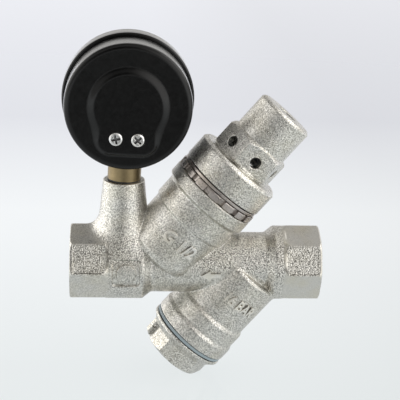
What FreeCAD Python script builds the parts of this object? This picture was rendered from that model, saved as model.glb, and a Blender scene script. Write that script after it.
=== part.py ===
import FreeCAD, Part
import math
import os

from FreeCAD import Placement, Rotation, Vector

os.makedirs("parts", exist_ok=True)

# Y-pattern DN15 pressure reducing valve: forged body with a strainer branch,
# a spring bonnet on the upper branch and a Bourdon gauge on the outlet side.
# Millimetres.  The origin is the centre of the inlet mouth; +X points out of
# the inlet, +Z is up and the gauge dial faces +Y.

# ---------------------------------------------------------------- clearances
RUNNING = 0.05             # radial, between pieces that move on each other
THREAD_GAP = 0.05          # radial, between a thread and its hole
SEATED = 0.02              # between pieces that are screwed up tight

# ---------------------------------------------------------------- pipe run
FACE_TO_FACE = 95.0        # outlet face to inlet face
PORT_R = 10.48             # G1/2 thread, major radius
PORT_DEPTH = 15.0
FLOW_R = 7.5
PORT_WALL = 3.52           # from the thread to the flats of the octagon
NECK_WALL = 4.1
COLLAR_WALL = 3.72
WRENCH_SIDES = 8
OCTAGON_L = 12.7           # length of the flats at both ends
OCTAGON_SLOPE = 2.2        # cone that ends the flats
OUTLET_COLLAR = 12.6       # round collar inboard of the octagon, outlet side
INLET_COLLAR = 2.6
COLLAR_SLOPE = 3.2         # length of the slope from a collar to the neck
END_CHAMFER = 0.8
WRENCH_FLATS = 2 * (PORT_R + PORT_WALL)
NECK_R = FLOW_R + NECK_WALL
COLLAR_R = PORT_R + COLLAR_WALL

# ---------------------------------------------------------------- working parts
STROKE = 3.0
STEM_R = 2.0
SEAT_BORE_R = 3.75
SEAT_LIP = 0.8
SEAT_LIP_W = 0.65
SEAT_WALL = 1.2            # from the way under the seat to the seat's thread
SEAT_FLANGE_W = 0.7
SEAT_FLANGE_H = 1.0
DISC_LAP = 0.2             # the disc reaches this far past the seat's lip
DISC_H = 1.8
HOLDER_WALL = 0.8
HOLDER_FLOOR = 1.0
HOLDER_RIM = 1.5
HOLDER_WAY = 0.6           # water way around the disc holder
DISC_NUT_WALL = 0.75
DISC_NUT_H = 2.2
PISTON_NUT_WALL = 1.5
PISTON_NUT_H = 2.4
DISC_R = SEAT_BORE_R + SEAT_LIP_W + DISC_LAP
HOLDER_R = DISC_R + HOLDER_WALL
UNDER_SEAT_R = HOLDER_R + HOLDER_WAY
SEAT_R = UNDER_SEAT_R + SEAT_WALL
SEAT_FLANGE_R = SEAT_R + SEAT_FLANGE_W
DISC_NUT_FLATS = 2 * (STEM_R + DISC_NUT_WALL)
PISTON_NUT_FLATS = 2 * (STEM_R + PISTON_NUT_WALL)

O_RING_R = 0.9             # radius of the round section of the seals
SPRING_MEAN_R = 7.2
SPRING_WIRE_R = 1.4
SPRING_TURNS = 7
SPRING_PLAY = 0.3          # radial, around the spring in the piston
WELL_PLAY = 0.9            # radial, around the spring in the bonnet
PLATE_PLAY = 0.3           # radial, around the spring plate
PLATE_H = 2.0
PLATE_GAP_UP = 10.0        # from the plate to the lid of the bonnet
PISTON_H = 9.0
PISTON_WELL = 5.0
PISTON_WALL = 2.55
SPRING_OUT_R = SPRING_MEAN_R + SPRING_WIRE_R
PISTON_WELL_R = SPRING_OUT_R + SPRING_PLAY
SPRING_WELL_R = SPRING_OUT_R + WELL_PLAY
PLATE_R = SPRING_WELL_R - PLATE_PLAY
PISTON_R = PISTON_WELL_R + PISTON_WALL

SCREW_R = 4.0
SCREW_RECESS = 0.5
SCREW_SOCKET_FLATS = 4.0
SCREW_SOCKET_H = 3.0

# ---------------------------------------------------------------- upper branch
BRANCH_ANGLE = 50.0        # slope of both branches from the pipe axis
BONNET_FOOT = -17.0        # where the upper axis crosses the pipe, from mid-length
THREAD_STEP = 2.6          # from the piston's bore to the bonnet's thread
UP_WALL = 1.35             # walls around the bonnet's thread, from the foot up
UP_STEP_WALL = 2.05
UP_RIM_WALL = 3.55
UP_START = 3.2             # stations along the upper axis
CHAMBER_FLOOR = 6.0
PISTON_FLOOR = 13.5
UP_STEP = 22.5
BONNET_THREAD_FLOOR = 25.5
UP_SHOULDER = 31.2
UP_MOUTH = 37.1
UP_SLOPE = 1.0
UP_FOOT_ROUND = 4.5
SEAT_BOTTOM = 1.5
UNDER_SEAT_END = -9.0
CHAMBER_STEP = 1.0         # from the seat's thread to the chamber wall
BONNET_THREAD_R = PISTON_R + THREAD_STEP
UP_R = BONNET_THREAD_R + UP_WALL
UP_STEP_R = BONNET_THREAD_R + UP_STEP_WALL
UP_RIM_R = BONNET_THREAD_R + UP_RIM_WALL
CHAMBER_R = SEAT_R + CHAMBER_STEP

# ---------------------------------------------------------------- bonnet
RING_H = 2.9
RING_WALL = 3.4
RING_SLOTS = 16
SLOT_W = 2.2
SLOT_DEPTH = 1.3
BAND_H = 1.35
BAND_WALL = 3.05
BONNET_WALL = 3.35
BONNET_H = 10.4
BONNET_CHAMFER = 1.2
SKIRT_PLAY = 0.55          # the skirt's bore is this much wider than the piston
SKIRT_BOTTOM = 27.2
WELL_STEP = 45.0
HEX_WALL = 0.7             # from the knob to the flats under it
HEX_H = 10.9
HEX_TURN = 4.0             # angle that the bonnet stopped at when screwed home
LEDGE_H = 0.9              # plain washer face under the hexagon
LEDGE_W = 0.4
VENT_R = 2.1
VENT_UP = 5.2
KNOB_WALL = 1.8
KNOB_H = 14.6
KNOB_CHAMFER = 1.0
KNOB_LID = 3.6
RING_R = BONNET_THREAD_R + RING_WALL
BAND_R = BONNET_THREAD_R + BAND_WALL
BONNET_R = BONNET_THREAD_R + BONNET_WALL
SKIRT_BORE_R = PISTON_R + SKIRT_PLAY
KNOB_R = SPRING_WELL_R + KNOB_WALL
HEX_FLATS = 2 * (KNOB_R + HEX_WALL)
LEDGE_R = HEX_FLATS / 2.0 + LEDGE_W

# ---------------------------------------------------------------- lower branch
STRAINER_FOOT = 24.0       # where the lower axis crosses the pipe, from mid-length
SCREEN_R = 9.3
SCREEN_WALL = 0.5
SCREEN_LEDGE = 1.3         # width of the shelf that the screen stands on
SCREEN_WAY = 2.0           # water way around the screen
CAP_THREAD_STEP = 0.95     # from the strainer's bore to the cap's thread
LOW_WALL = 2.25            # walls around the cap's thread, from the foot down
LOW_STEP_WALL = 3.15
LOW_RIM_WALL = 3.85
LOW_START = 3.6            # stations along the lower axis
SCREEN_SHELF = 6.0
LOW_STEP = 24.6
CAP_THREAD_FLOOR = 30.0
CAP_SKIRT = 30.6
LOW_SHOULDER = 31.6
LOW_MOUTH = 37.8
SCREEN_END = 43.6
LOW_SLOPE = 1.0
SCREEN_ROWS = 5
SCREEN_PER_ROW = 10
SCREEN_HOLE_R = 1.3
GASKET_H = 1.5
GASKET_INSET = 0.15
CAP_FLANGE_H = 3.0
CAP_FLANGE_STRAIGHT = 1.2  # cylindrical part of the flange, before its taper
CAP_HEX_H = 7.5
CAP_TURN = 3.0
CAP_CHAMFER = 1.4
WIRE_HOLE_R = 0.9          # seal-wire hole, through a tab cut on one corner
WIRE_TAB_ROOT = 0.05       # the tab starts this far inside the flats
WIRE_TAB_FRONT = 1.2
SCREEN_MOUTH_R = SCREEN_R - SCREEN_LEDGE
STRAINER_R = SCREEN_R + SCREEN_WAY
CAP_THREAD_R = STRAINER_R + CAP_THREAD_STEP
LOW_R = CAP_THREAD_R + LOW_WALL
LOW_STEP_R = CAP_THREAD_R + LOW_STEP_WALL
LOW_RIM_R = CAP_THREAD_R + LOW_RIM_WALL
CAP_FLATS = 2 * CAP_THREAD_R
WIRE_TAB_IN = CAP_FLATS / 2.0 - WIRE_TAB_ROOT

# ---------------------------------------------------------------- inner ways
PASSAGE_R = 4.0            # way from the strainer to the seat
PASSAGE_DROP = 6.2
RISE_R = 4.5               # way from the seat chamber to the outlet
RISE_FOOT = 5.5
RISE_HEAD = 17.5

# ---------------------------------------------------------------- gauge
GAUGE_X = -27.5            # boss axis, from mid-length
GAUGE_THREAD_R = 4.86      # G1/8 thread, major radius
GAUGE_THREAD = 8.0
GAUGE_WAY_R = 1.5
GAUGE_LEAN = 2.3           # the gauge port is out of plumb by this many degrees
STEM_NECK_WALL = 1.39
BOSS_LEDGE = 1.55          # ledge around the stem's neck on the boss
BOSS_TOP = 33.0
BOSS_SPARE = 0.4           # metal above the boss top that the spot face trims
BOSS_WAIST = 20.0
BOSS_WAIST_W = 1.3
BOSS_FLARE_W = 2.4
BOSS_FLARE = 11.0
SEAL_H = 0.5
CASE_R = 23.45
CASE_LIFT = 5.8            # from the boss top to the bottom of the case
CASE_BACK = -9.0
CASE_FRONT = 13.0
CASE_WALL = 1.0
CASE_ROUND = 1.2
PAD_H = 0.9                # raised pad on the back of the case
PAD_TOP_R = 12.2
PAD_FOOT_R = 15.2
PAD_LOW = 18.3
PAD_LOW_W = 9.4
BEZEL_LAP = 1.4            # the bezel stands this far around the case
BEZEL_LIP = 1.85           # and its lip reaches this far inside it
BEZEL_GAP = 0.15           # between the stem and the back of the bezel
BEZEL_FRONT = 16.1
BEZEL_WALL = 1.2
WINDOW_H = 1.6
WINDOW_PLAY = 0.2
WINDOW_GASKET_W = 2.0
DIAL_Y = 8.2
DIAL_H = 0.5
DIAL_PLAY = 1.05           # radial, between the dial and the case wall
SCREW_HEAD_R = 2.55
SCREW_HEAD_H = 1.2
SCREW_SHANK_R = 1.5
SCREW_SPACING = 8.0
SCREW_DROP = 11.4
SOCKET_W = 14.0
SOCKET_H = 11.0
SOCKET_BACK = -7.0
SOCKET_FRONT = 2.0
PLATE_T = 0.8
MOVEMENT_GAP = 3.4
ARBOR_R = 0.6
PINION_R = 1.6
PINION_TEETH = 16
GEAR_RATIO = 5
SECTOR_SPAN = 85.5
TOOTH_H = 0.36
MESH_GAP = 0.12
TUBE_GAP = 6.85            # from the case to the middle of the Bourdon tube
TUBE_THICK = 2.2
TUBE_DEPTH = 6.0
TUBE_WALL = 0.3
TUBE_SWEEP = 255.0
POINTER_SHORT = 5.4        # from the tip of the pointer to the rim of the dial
POINTER_TAIL = 5.5
POINTER_ZERO = 315.0       # where the pointer rests: degrees from +X towards +Z
STEM_NECK_R = GAUGE_THREAD_R + STEM_NECK_WALL
BOSS_R = STEM_NECK_R + BOSS_LEDGE
BOSS_WAIST_R = BOSS_R + BOSS_WAIST_W
BOSS_FLARE_R = BOSS_WAIST_R + BOSS_FLARE_W
GAUGE_RISE = CASE_R + CASE_LIFT    # from the boss top to the middle of the dial
BEZEL_R = CASE_R + BEZEL_LAP
BEZEL_BACK = STEM_NECK_R + BEZEL_GAP
BEZEL_LIP_R = CASE_R - BEZEL_LIP
DIAL_R = CASE_R - CASE_WALL - DIAL_PLAY
TUBE_R = CASE_R - TUBE_GAP
POINTER_L = DIAL_R - POINTER_SHORT

X_MID = -FACE_TO_FACE / 2.0
SLOPE = math.radians(BRANCH_ANGLE)
UP_DIR = Vector(math.cos(SLOPE), 0, math.sin(SLOPE))
FRONT = Vector(0, -1, 0)


def axes(origin, z_dir, x_dir):
    """Placement whose local Z runs along z_dir and local X along x_dir."""
    y_dir = z_dir.cross(x_dir)
    return Placement(origin, Rotation(x_dir, y_dir, z_dir, "ZXY"))


PIPE = axes(Vector(X_MID, 0, 0), Vector(1, 0, 0), FRONT)
UPPER = axes(Vector(X_MID + BONNET_FOOT, 0, 0), UP_DIR, FRONT)
LOWER = axes(Vector(X_MID + STRAINER_FOOT, 0, 0), UP_DIR * -1.0, FRONT)
BOSS = axes(Vector(X_MID + GAUGE_X, 0, 0), Vector(0, 0, 1), Vector(1, 0, 0))
GAUGE = Placement(Vector(X_MID + GAUGE_X, 0, BOSS_TOP),
                  Rotation(Vector(0, 1, 0), GAUGE_LEAN))
DIAL = GAUGE.multiply(axes(Vector(0, 0, GAUGE_RISE), Vector(0, 1, 0), Vector(1, 0, 0)))


# ---------------------------------------------------------------- shape helpers
def placed(shape, at):
    shape.Placement = at.multiply(shape.Placement)
    return shape


def turned(profile, at):
    """Solid of revolution from (station, radius) points around local Z."""
    points = [Vector(r, 0, s) for s, r in profile]
    face = Part.Face(Part.makePolygon(points + [points[0]]))
    return placed(face.revolve(Vector(0, 0, 0), Vector(0, 0, 1), 360), at)


def rod(start, end, radius, at):
    return turned([(start, 0), (start, radius), (end, radius), (end, 0)], at)


def sleeve(start, end, inner, outer, at):
    return turned([(start, inner), (start, outer), (end, outer), (end, inner)], at)


def prism(sides, flats, start, end, at, turn=0.0):
    """Regular prism along local Z, with a flat facing local X when turn is 0."""
    corner = flats / 2.0 / math.cos(math.pi / sides)
    points = []
    for k in range(sides + 1):
        a = math.radians(turn) + math.pi / sides + 2 * math.pi * (k % sides) / sides
        points.append(Vector(corner * math.cos(a), corner * math.sin(a), start))
    return placed(Part.Face(Part.makePolygon(points)).extrude(Vector(0, 0, end - start)), at)


def block(x0, x1, y0, y1, z0, z1, at):
    return placed(Part.makeBox(x1 - x0, y1 - y0, z1 - z0, Vector(x0, y0, z0)), at)


def o_ring(radius, station, at):
    return placed(Part.makeTorus(radius, O_RING_R, Vector(0, 0, station), Vector(0, 0, 1)), at)


def spun(shape, at, angle):
    """Copy of a shape turned about the local Z of a placement."""
    copy = shape.copy()
    centre = at.Base
    axis = at.Rotation.multVec(Vector(0, 0, 1))
    copy.rotate(centre, axis, angle)
    return copy


def ring_of(shape, at, count):
    return [spun(shape, at, 360.0 * k / count) for k in range(count)]


def save(shape, name):
    shape.exportStep(os.path.join("parts", name + ".step"))


# ---------------------------------------------------------------- stations
BONNET_BOTTOM = UP_MOUTH + RING_H + BAND_H + 2 * SEATED
HEX_BOTTOM = BONNET_BOTTOM + BONNET_H
HEX_TOP = HEX_BOTTOM + HEX_H
KNOB_TOP = HEX_TOP + KNOB_H
LID_UNDER = KNOB_TOP - KNOB_LID
PLATE_TOP = LID_UNDER - PLATE_GAP_UP
PISTON_TOP = PISTON_FLOOR + PISTON_H
WELL_FLOOR = PISTON_TOP - PISTON_WELL
LIP_BOTTOM = SEAT_BOTTOM - SEAT_LIP
DISC_TOP = LIP_BOTTOM - STROKE
HOLDER_BOTTOM = DISC_TOP - DISC_H - HOLDER_FLOOR
CAP_SEAT = LOW_MOUTH + GASKET_H
CAP_HEX_BOTTOM = CAP_SEAT + CAP_FLANGE_H
CAP_END = CAP_HEX_BOTTOM + CAP_HEX_H


# ---------------------------------------------------------------- valve body
def wrench_end(side):
    """Octagonal end with a chamfered mouth, a cone behind its flats and a collar."""
    corner = WRENCH_FLATS / 2.0 / math.cos(math.pi / WRENCH_SIDES)
    mouth = side * FACE_TO_FACE / 2.0
    collar = OUTLET_COLLAR if side < 0 else INLET_COLLAR
    flats_end = mouth - side * OCTAGON_L
    cone_end = flats_end - side * OCTAGON_SLOPE
    collar_end = cone_end - side * collar
    slope_end = collar_end - side * COLLAR_SLOPE
    first, last = sorted((mouth, cone_end))
    octagon = prism(WRENCH_SIDES, WRENCH_FLATS, first, last, PIPE, 180.0 / WRENCH_SIDES)
    octagon = octagon.common(turned([
        (mouth, 0), (mouth, corner - END_CHAMFER), (mouth - side * END_CHAMFER, corner),
        (flats_end, corner), (cone_end, COLLAR_R), (cone_end, 0)], PIPE))
    round_part = turned([
        (flats_end, 0), (flats_end, NECK_R), (cone_end, COLLAR_R), (collar_end, COLLAR_R),
        (slope_end, NECK_R), (slope_end, 0)], PIPE)
    return octagon.fuse(round_part)


def outer_body():
    half = FACE_TO_FACE / 2.0
    neck = rod(-half + OCTAGON_L, half - OCTAGON_L, NECK_R, PIPE)
    foot = UP_FOOT_ROUND * 0.3
    upper = turned([
        (UP_START, 0), (UP_START, UP_R - UP_FOOT_ROUND), (UP_START + foot, UP_R - foot),
        (UP_START + UP_FOOT_ROUND, UP_R), (UP_STEP, UP_R),
        (UP_STEP + UP_SLOPE * 0.5, UP_STEP_R), (UP_SHOULDER, UP_STEP_R),
        (UP_SHOULDER + UP_SLOPE, UP_RIM_R), (UP_MOUTH, UP_RIM_R), (UP_MOUTH, 0)], UPPER)
    lower = turned([
        (LOW_START, 0), (LOW_START, LOW_R - LOW_SLOPE), (LOW_START + LOW_SLOPE, LOW_R),
        (LOW_STEP, LOW_R), (LOW_STEP + LOW_SLOPE, LOW_STEP_R),
        (LOW_SHOULDER, LOW_STEP_R), (LOW_SHOULDER + LOW_SLOPE, LOW_RIM_R),
        (LOW_MOUTH, LOW_RIM_R), (LOW_MOUTH, 0)], LOWER)
    boss = turned([
        (0, 0), (0, BOSS_FLARE_R), (BOSS_FLARE, BOSS_FLARE_R), (BOSS_WAIST, BOSS_WAIST_R),
        (BOSS_TOP, BOSS_R), (BOSS_TOP + BOSS_SPARE, BOSS_R - BOSS_SPARE),
        (BOSS_TOP + BOSS_SPARE, 0)], BOSS)
    body = neck.fuse([wrench_end(-1), wrench_end(1), upper, lower, boss])
    return body.removeSplitter()


def inner_ways():
    half = FACE_TO_FACE / 2.0
    cuts = []
    for side in (-1, 1):
        face = side * half
        ends = sorted((face, face - side * PORT_DEPTH))
        cuts.append(rod(ends[0], ends[1], PORT_R, PIPE))
    outlet_stop = -half + PORT_DEPTH + 2.5
    cuts.append(rod(-half, outlet_stop, FLOW_R, PIPE))
    cuts.append(rod(STRAINER_FOOT - 2.0, half, FLOW_R, PIPE))
    upper = turned([
        (UNDER_SEAT_END, 0), (UNDER_SEAT_END, UNDER_SEAT_R), (SEAT_BOTTOM, UNDER_SEAT_R),
        (SEAT_BOTTOM, SEAT_R + THREAD_GAP), (CHAMBER_FLOOR, SEAT_R + THREAD_GAP),
        (CHAMBER_FLOOR, CHAMBER_R), (PISTON_FLOOR, CHAMBER_R),
        (PISTON_FLOOR, PISTON_R + RUNNING), (BONNET_THREAD_FLOOR, PISTON_R + RUNNING),
        (BONNET_THREAD_FLOOR, BONNET_THREAD_R + THREAD_GAP),
        (UP_MOUTH, BONNET_THREAD_R + THREAD_GAP), (UP_MOUTH, 0)], UPPER)
    lower = turned([
        (-SCREEN_MOUTH_R * 0.6, 0), (-SCREEN_MOUTH_R * 0.6, SCREEN_MOUTH_R),
        (SCREEN_SHELF, SCREEN_MOUTH_R), (SCREEN_SHELF, STRAINER_R),
        (CAP_THREAD_FLOOR, STRAINER_R), (CAP_THREAD_FLOOR, CAP_THREAD_R + THREAD_GAP),
        (LOW_MOUTH, CAP_THREAD_R + THREAD_GAP), (LOW_MOUTH, 0)], LOWER)
    passage_from = Vector(X_MID + BONNET_FOOT + 1.0, 0, -PASSAGE_DROP)
    passage_run = STRAINER_FOOT - BONNET_FOOT - STRAINER_R * 1.5
    passage = Part.makeCylinder(PASSAGE_R, passage_run, passage_from, Vector(1, 0, 0))
    rise_from = Vector(X_MID + outlet_stop - 3.0, 0, RISE_FOOT)
    rise_to = Vector(X_MID + BONNET_FOOT + 1.0, 0, RISE_HEAD)
    run = rise_to.sub(rise_from)
    rise = Part.makeCylinder(RISE_R, run.Length, rise_from, run)
    spot_face = rod(0.0, BOSS_R, 1.5 * BOSS_R, GAUGE)
    gauge_port = rod(-GAUGE_THREAD - 1.0, 0.0, GAUGE_THREAD_R + THREAD_GAP, GAUGE)
    gauge_way = rod(-BOSS_TOP + RISE_FOOT + 2.0, -GAUGE_THREAD, GAUGE_WAY_R, GAUGE)
    cuts += [upper, lower, passage, rise, spot_face, gauge_port, gauge_way]
    return cuts


def valve_body():
    return outer_body().cut(inner_ways())


# ---------------------------------------------------------------- spring bonnet
def bonnet():
    outside = turned([
        (SKIRT_BOTTOM, 0), (SKIRT_BOTTOM, BONNET_THREAD_R), (BONNET_BOTTOM, BONNET_THREAD_R),
        (BONNET_BOTTOM, BONNET_R), (HEX_BOTTOM - BONNET_CHAMFER, BONNET_R),
        (HEX_BOTTOM, BONNET_R - BONNET_CHAMFER), (HEX_BOTTOM, 0)], UPPER)
    ledge = rod(HEX_BOTTOM, HEX_BOTTOM + LEDGE_H, LEDGE_R, UPPER)
    corner = HEX_FLATS / math.sqrt(3.0)
    hexagon = prism(6, HEX_FLATS, HEX_BOTTOM + LEDGE_H, HEX_TOP, UPPER, HEX_TURN)
    hexagon = hexagon.common(turned([
        (HEX_BOTTOM, 0), (HEX_BOTTOM, corner), (HEX_TOP - 1.4, corner),
        (HEX_TOP, corner - 2.0), (HEX_TOP, 0)], UPPER))
    knob = turned([
        (HEX_BOTTOM, 0), (HEX_BOTTOM, KNOB_R), (KNOB_TOP - KNOB_CHAMFER, KNOB_R),
        (KNOB_TOP, KNOB_R - KNOB_CHAMFER), (KNOB_TOP, 0)], UPPER)
    solid = outside.fuse([ledge, hexagon, knob])
    well = turned([
        (SKIRT_BOTTOM, 0), (SKIRT_BOTTOM, SKIRT_BORE_R), (WELL_STEP - 2.0, SKIRT_BORE_R),
        (WELL_STEP, SPRING_WELL_R), (LID_UNDER, SPRING_WELL_R), (LID_UNDER, 0)], UPPER)
    screw_hole = rod(LID_UNDER - 1.0, KNOB_TOP, SCREW_R + RUNNING, UPPER)
    vent = Part.makeCylinder(VENT_R, HEX_FLATS, Vector(0, 0, HEX_BOTTOM + VENT_UP), Vector(1, 0, 0))
    vent = spun(placed(vent, UPPER), UPPER, HEX_TURN)
    solid = solid.cut([well, screw_hole] + ring_of(vent, UPPER, 6))
    return solid.removeSplitter()


def lock_ring():
    bottom = UP_MOUTH + SEATED
    ring = sleeve(bottom, bottom + RING_H, BONNET_THREAD_R + THREAD_GAP, RING_R, UPPER)
    slot = block(RING_R - SLOT_DEPTH, RING_R + 1.0, -SLOT_W / 2.0, SLOT_W / 2.0,
                 bottom - 1.0, bottom + RING_H + 1.0, UPPER)
    return ring.cut(ring_of(slot, UPPER, RING_SLOTS))


def lock_band():
    bottom = UP_MOUTH + RING_H + SEATED
    return sleeve(bottom, bottom + BAND_H, BONNET_THREAD_R + THREAD_GAP, BAND_R, UPPER)


def adjusting_screw():
    top = KNOB_TOP - SCREW_RECESS
    screw = turned([
        (PLATE_TOP, 0), (PLATE_TOP, SCREW_R - 0.8), (PLATE_TOP + 0.8, SCREW_R),
        (top - 0.5, SCREW_R), (top, SCREW_R - 0.5), (top, 0)], UPPER)
    return screw.cut(prism(6, SCREW_SOCKET_FLATS, top - SCREW_SOCKET_H, top + 1.0, UPPER))


def upper_spring_plate():
    under = PLATE_TOP - PLATE_H
    pilot_r = SPRING_MEAN_R - SPRING_WIRE_R - 0.3
    return turned([
        (under - 2.0, 0), (under - 2.0, pilot_r - 0.5), (under - 1.5, pilot_r),
        (under, pilot_r), (under, PLATE_R), (PLATE_TOP, PLATE_R), (PLATE_TOP, 0)], UPPER)


def main_spring():
    bottom = WELL_FLOOR + SPRING_WIRE_R
    top = PLATE_TOP - PLATE_H - SPRING_WIRE_R
    pitch = (top - bottom) / SPRING_TURNS
    path = Part.makeHelix(pitch, top - bottom, SPRING_MEAN_R)
    circle = Part.Circle(Vector(SPRING_MEAN_R, 0, 0), Vector(0, 1, 0), SPRING_WIRE_R)
    section = Part.Wire([circle.toShape()])
    coil = Part.Wire(path.Edges).makePipeShell([section], True, True)
    coil.translate(Vector(0, 0, bottom))
    return placed(coil, UPPER)


# ---------------------------------------------------------------- piston and seat
GROOVE_W = 2 * O_RING_R + 0.3
PISTON_GROOVE = PISTON_FLOOR + 0.9


def groove(outer, bottom, at):
    """Ring of metal that an O-ring groove takes out of a shaft."""
    return sleeve(bottom, bottom + GROOVE_W, outer - 2 * O_RING_R - SEATED, outer + 1.0, at)


def piston():
    solid = turned([
        (PISTON_FLOOR, 0), (PISTON_FLOOR, PISTON_R - 0.4), (PISTON_FLOOR + 0.4, PISTON_R),
        (PISTON_TOP, PISTON_R), (PISTON_TOP, PISTON_WELL_R), (WELL_FLOOR, PISTON_WELL_R),
        (WELL_FLOOR, 0)], UPPER)
    bore = rod(PISTON_FLOOR - 1.0, PISTON_TOP, STEM_R + SEATED, UPPER)
    return solid.cut([bore, groove(PISTON_R, PISTON_GROOVE, UPPER)])


def piston_o_ring():
    return o_ring(PISTON_R - O_RING_R, PISTON_GROOVE + GROOVE_W / 2.0, UPPER)


def valve_stem():
    """Stem with a collar that bears on the underside of the piston."""
    bottom = HOLDER_BOTTOM - DISC_NUT_H - 0.4
    top = WELL_FLOOR + PISTON_NUT_H + 0.4
    return turned([
        (bottom, 0), (bottom, STEM_R - 0.3), (bottom + 0.3, STEM_R),
        (PISTON_FLOOR - 1.2, STEM_R), (PISTON_FLOOR - 1.2, STEM_R + 1.4),
        (PISTON_FLOOR, STEM_R + 1.4), (PISTON_FLOOR, STEM_R), (top, STEM_R), (top, 0)], UPPER)


def piston_nut():
    nut = prism(6, PISTON_NUT_FLATS, WELL_FLOOR, WELL_FLOOR + PISTON_NUT_H, UPPER)
    return nut.cut(rod(WELL_FLOOR - 1.0, PISTON_TOP, STEM_R + SEATED, UPPER))


def seat_insert():
    top = CHAMBER_FLOOR + SEAT_FLANGE_H
    solid = turned([
        (SEAT_BOTTOM, SEAT_BORE_R + SEAT_LIP_W), (SEAT_BOTTOM, SEAT_R), (CHAMBER_FLOOR, SEAT_R),
        (CHAMBER_FLOOR, SEAT_FLANGE_R), (top, SEAT_FLANGE_R), (top, SEAT_BORE_R),
        (LIP_BOTTOM, SEAT_BORE_R), (LIP_BOTTOM, SEAT_BORE_R + SEAT_LIP_W)], UPPER)
    slots = [block(-SEAT_R, SEAT_R, -0.8, 0.8, top - 0.5, top + 1.0, UPPER)]
    return solid.cut(slots + [groove(SEAT_R, SEAT_BOTTOM + 1.0, UPPER)])


def seat_o_ring():
    return o_ring(SEAT_R - O_RING_R, SEAT_BOTTOM + 1.0 + GROOVE_W / 2.0, UPPER)


def disc_holder():
    rim = DISC_TOP - DISC_H + HOLDER_RIM
    floor = DISC_TOP - DISC_H
    return turned([
        (HOLDER_BOTTOM, STEM_R + SEATED), (HOLDER_BOTTOM, HOLDER_R - 0.5),
        (HOLDER_BOTTOM + 0.5, HOLDER_R), (rim, HOLDER_R), (rim, DISC_R + SEATED),
        (floor, DISC_R + SEATED), (floor, STEM_R + SEATED)], UPPER)


def valve_disc():
    return sleeve(DISC_TOP - DISC_H, DISC_TOP, STEM_R + SEATED, DISC_R, UPPER)


def disc_nut():
    nut = prism(6, DISC_NUT_FLATS, HOLDER_BOTTOM - DISC_NUT_H, HOLDER_BOTTOM, UPPER)
    return nut.cut(rod(HOLDER_BOTTOM - 5.0, HOLDER_BOTTOM + 1.0, STEM_R + SEATED, UPPER))


# ---------------------------------------------------------------- strainer
def strainer_screen():
    tube = sleeve(SCREEN_SHELF + SEATED, SCREEN_END, SCREEN_R - SCREEN_WALL, SCREEN_R, LOWER)
    first = SCREEN_SHELF + 4.0
    last = CAP_SKIRT - 3.0
    holes = []
    for row in range(SCREEN_ROWS):
        station = first + (last - first) * row / (SCREEN_ROWS - 1)
        hole = Part.makeCylinder(SCREEN_HOLE_R, SCREEN_R + 1.0, Vector(0, 0, station), Vector(1, 0, 0))
        hole = spun(placed(hole, LOWER), LOWER, 180.0 / SCREEN_PER_ROW * (row % 2))
        holes += ring_of(hole, LOWER, SCREEN_PER_ROW)
    return tube.cut(holes)


def cap_gasket():
    return sleeve(LOW_MOUTH, CAP_SEAT, CAP_THREAD_R + RUNNING, LOW_RIM_R - GASKET_INSET, LOWER)


def strainer_cap():
    corner = CAP_FLATS / math.sqrt(3.0)
    well_floor = SCREEN_END + SEATED
    skirt = rod(CAP_SKIRT, CAP_SEAT, CAP_THREAD_R, LOWER)
    flange = turned([
        (CAP_SEAT, 0), (CAP_SEAT, LOW_RIM_R), (CAP_SEAT + CAP_FLANGE_STRAIGHT, LOW_RIM_R),
        (CAP_HEX_BOTTOM, corner), (CAP_HEX_BOTTOM, 0)], LOWER)
    hexagon = prism(6, CAP_FLATS, CAP_HEX_BOTTOM, CAP_END, LOWER, CAP_TURN)
    hexagon = hexagon.common(turned([
        (CAP_HEX_BOTTOM, 0), (CAP_HEX_BOTTOM, corner), (CAP_END - CAP_CHAMFER, corner),
        (CAP_END, corner - 1.6 * CAP_CHAMFER), (CAP_END, 0)], LOWER))
    well = rod(CAP_SKIRT - 1.0, well_floor, SCREEN_R + RUNNING, LOWER)
    hole_base = Vector(-CAP_FLATS / 2.0, (WIRE_TAB_IN + corner) / 2.0 - 0.2,
                       CAP_HEX_BOTTOM + CAP_HEX_H / 2.0)
    wire_hole = placed(Part.makeCylinder(WIRE_HOLE_R, CAP_FLATS, hole_base, Vector(1, 0, 0)), LOWER)
    tab_cuts = [block(WIRE_TAB_FRONT, CAP_FLATS, WIRE_TAB_IN, corner + 1.0,
                      CAP_HEX_BOTTOM, CAP_END + 1.0, LOWER),
                block(-CAP_FLATS, -WIRE_TAB_FRONT, WIRE_TAB_IN, corner + 1.0,
                      CAP_HEX_BOTTOM, CAP_END + 1.0, LOWER)]
    cap = skirt.fuse([flange, hexagon]).removeSplitter()
    return cap.cut([well, wire_hole] + tab_cuts)


# ---------------------------------------------------------------- gauge casing
def stem_seal():
    return sleeve(0.0, SEAL_H, GAUGE_THREAD_R + THREAD_GAP, STEM_NECK_R - 0.05, GAUGE)


def gauge_stem():
    """Brass socket: threaded shank, round neck and the block inside the case."""
    neck_top = GAUGE_RISE - SCREW_DROP - SOCKET_H / 2.0
    shank = turned([
        (-GAUGE_THREAD, 0), (-GAUGE_THREAD, GAUGE_THREAD_R - 0.6),
        (-GAUGE_THREAD + 0.6, GAUGE_THREAD_R), (SEAL_H, GAUGE_THREAD_R),
        (SEAL_H, STEM_NECK_R), (neck_top + 1.0, STEM_NECK_R), (neck_top + 1.0, 0)], GAUGE)
    head = block(-SOCKET_W / 2.0, SOCKET_W / 2.0, SOCKET_BACK, SOCKET_FRONT,
                 neck_top, neck_top + SOCKET_H, GAUGE)
    way = rod(-GAUGE_THREAD, neck_top + SOCKET_H / 2.0, GAUGE_WAY_R, GAUGE)
    holes = [screw_bar(side, SCREW_SHANK_R, SOCKET_BACK - 1.0, SOCKET_BACK + 5.0)
             for side in (-1, 1)]
    return shank.fuse(head).cut([way] + holes)


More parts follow.
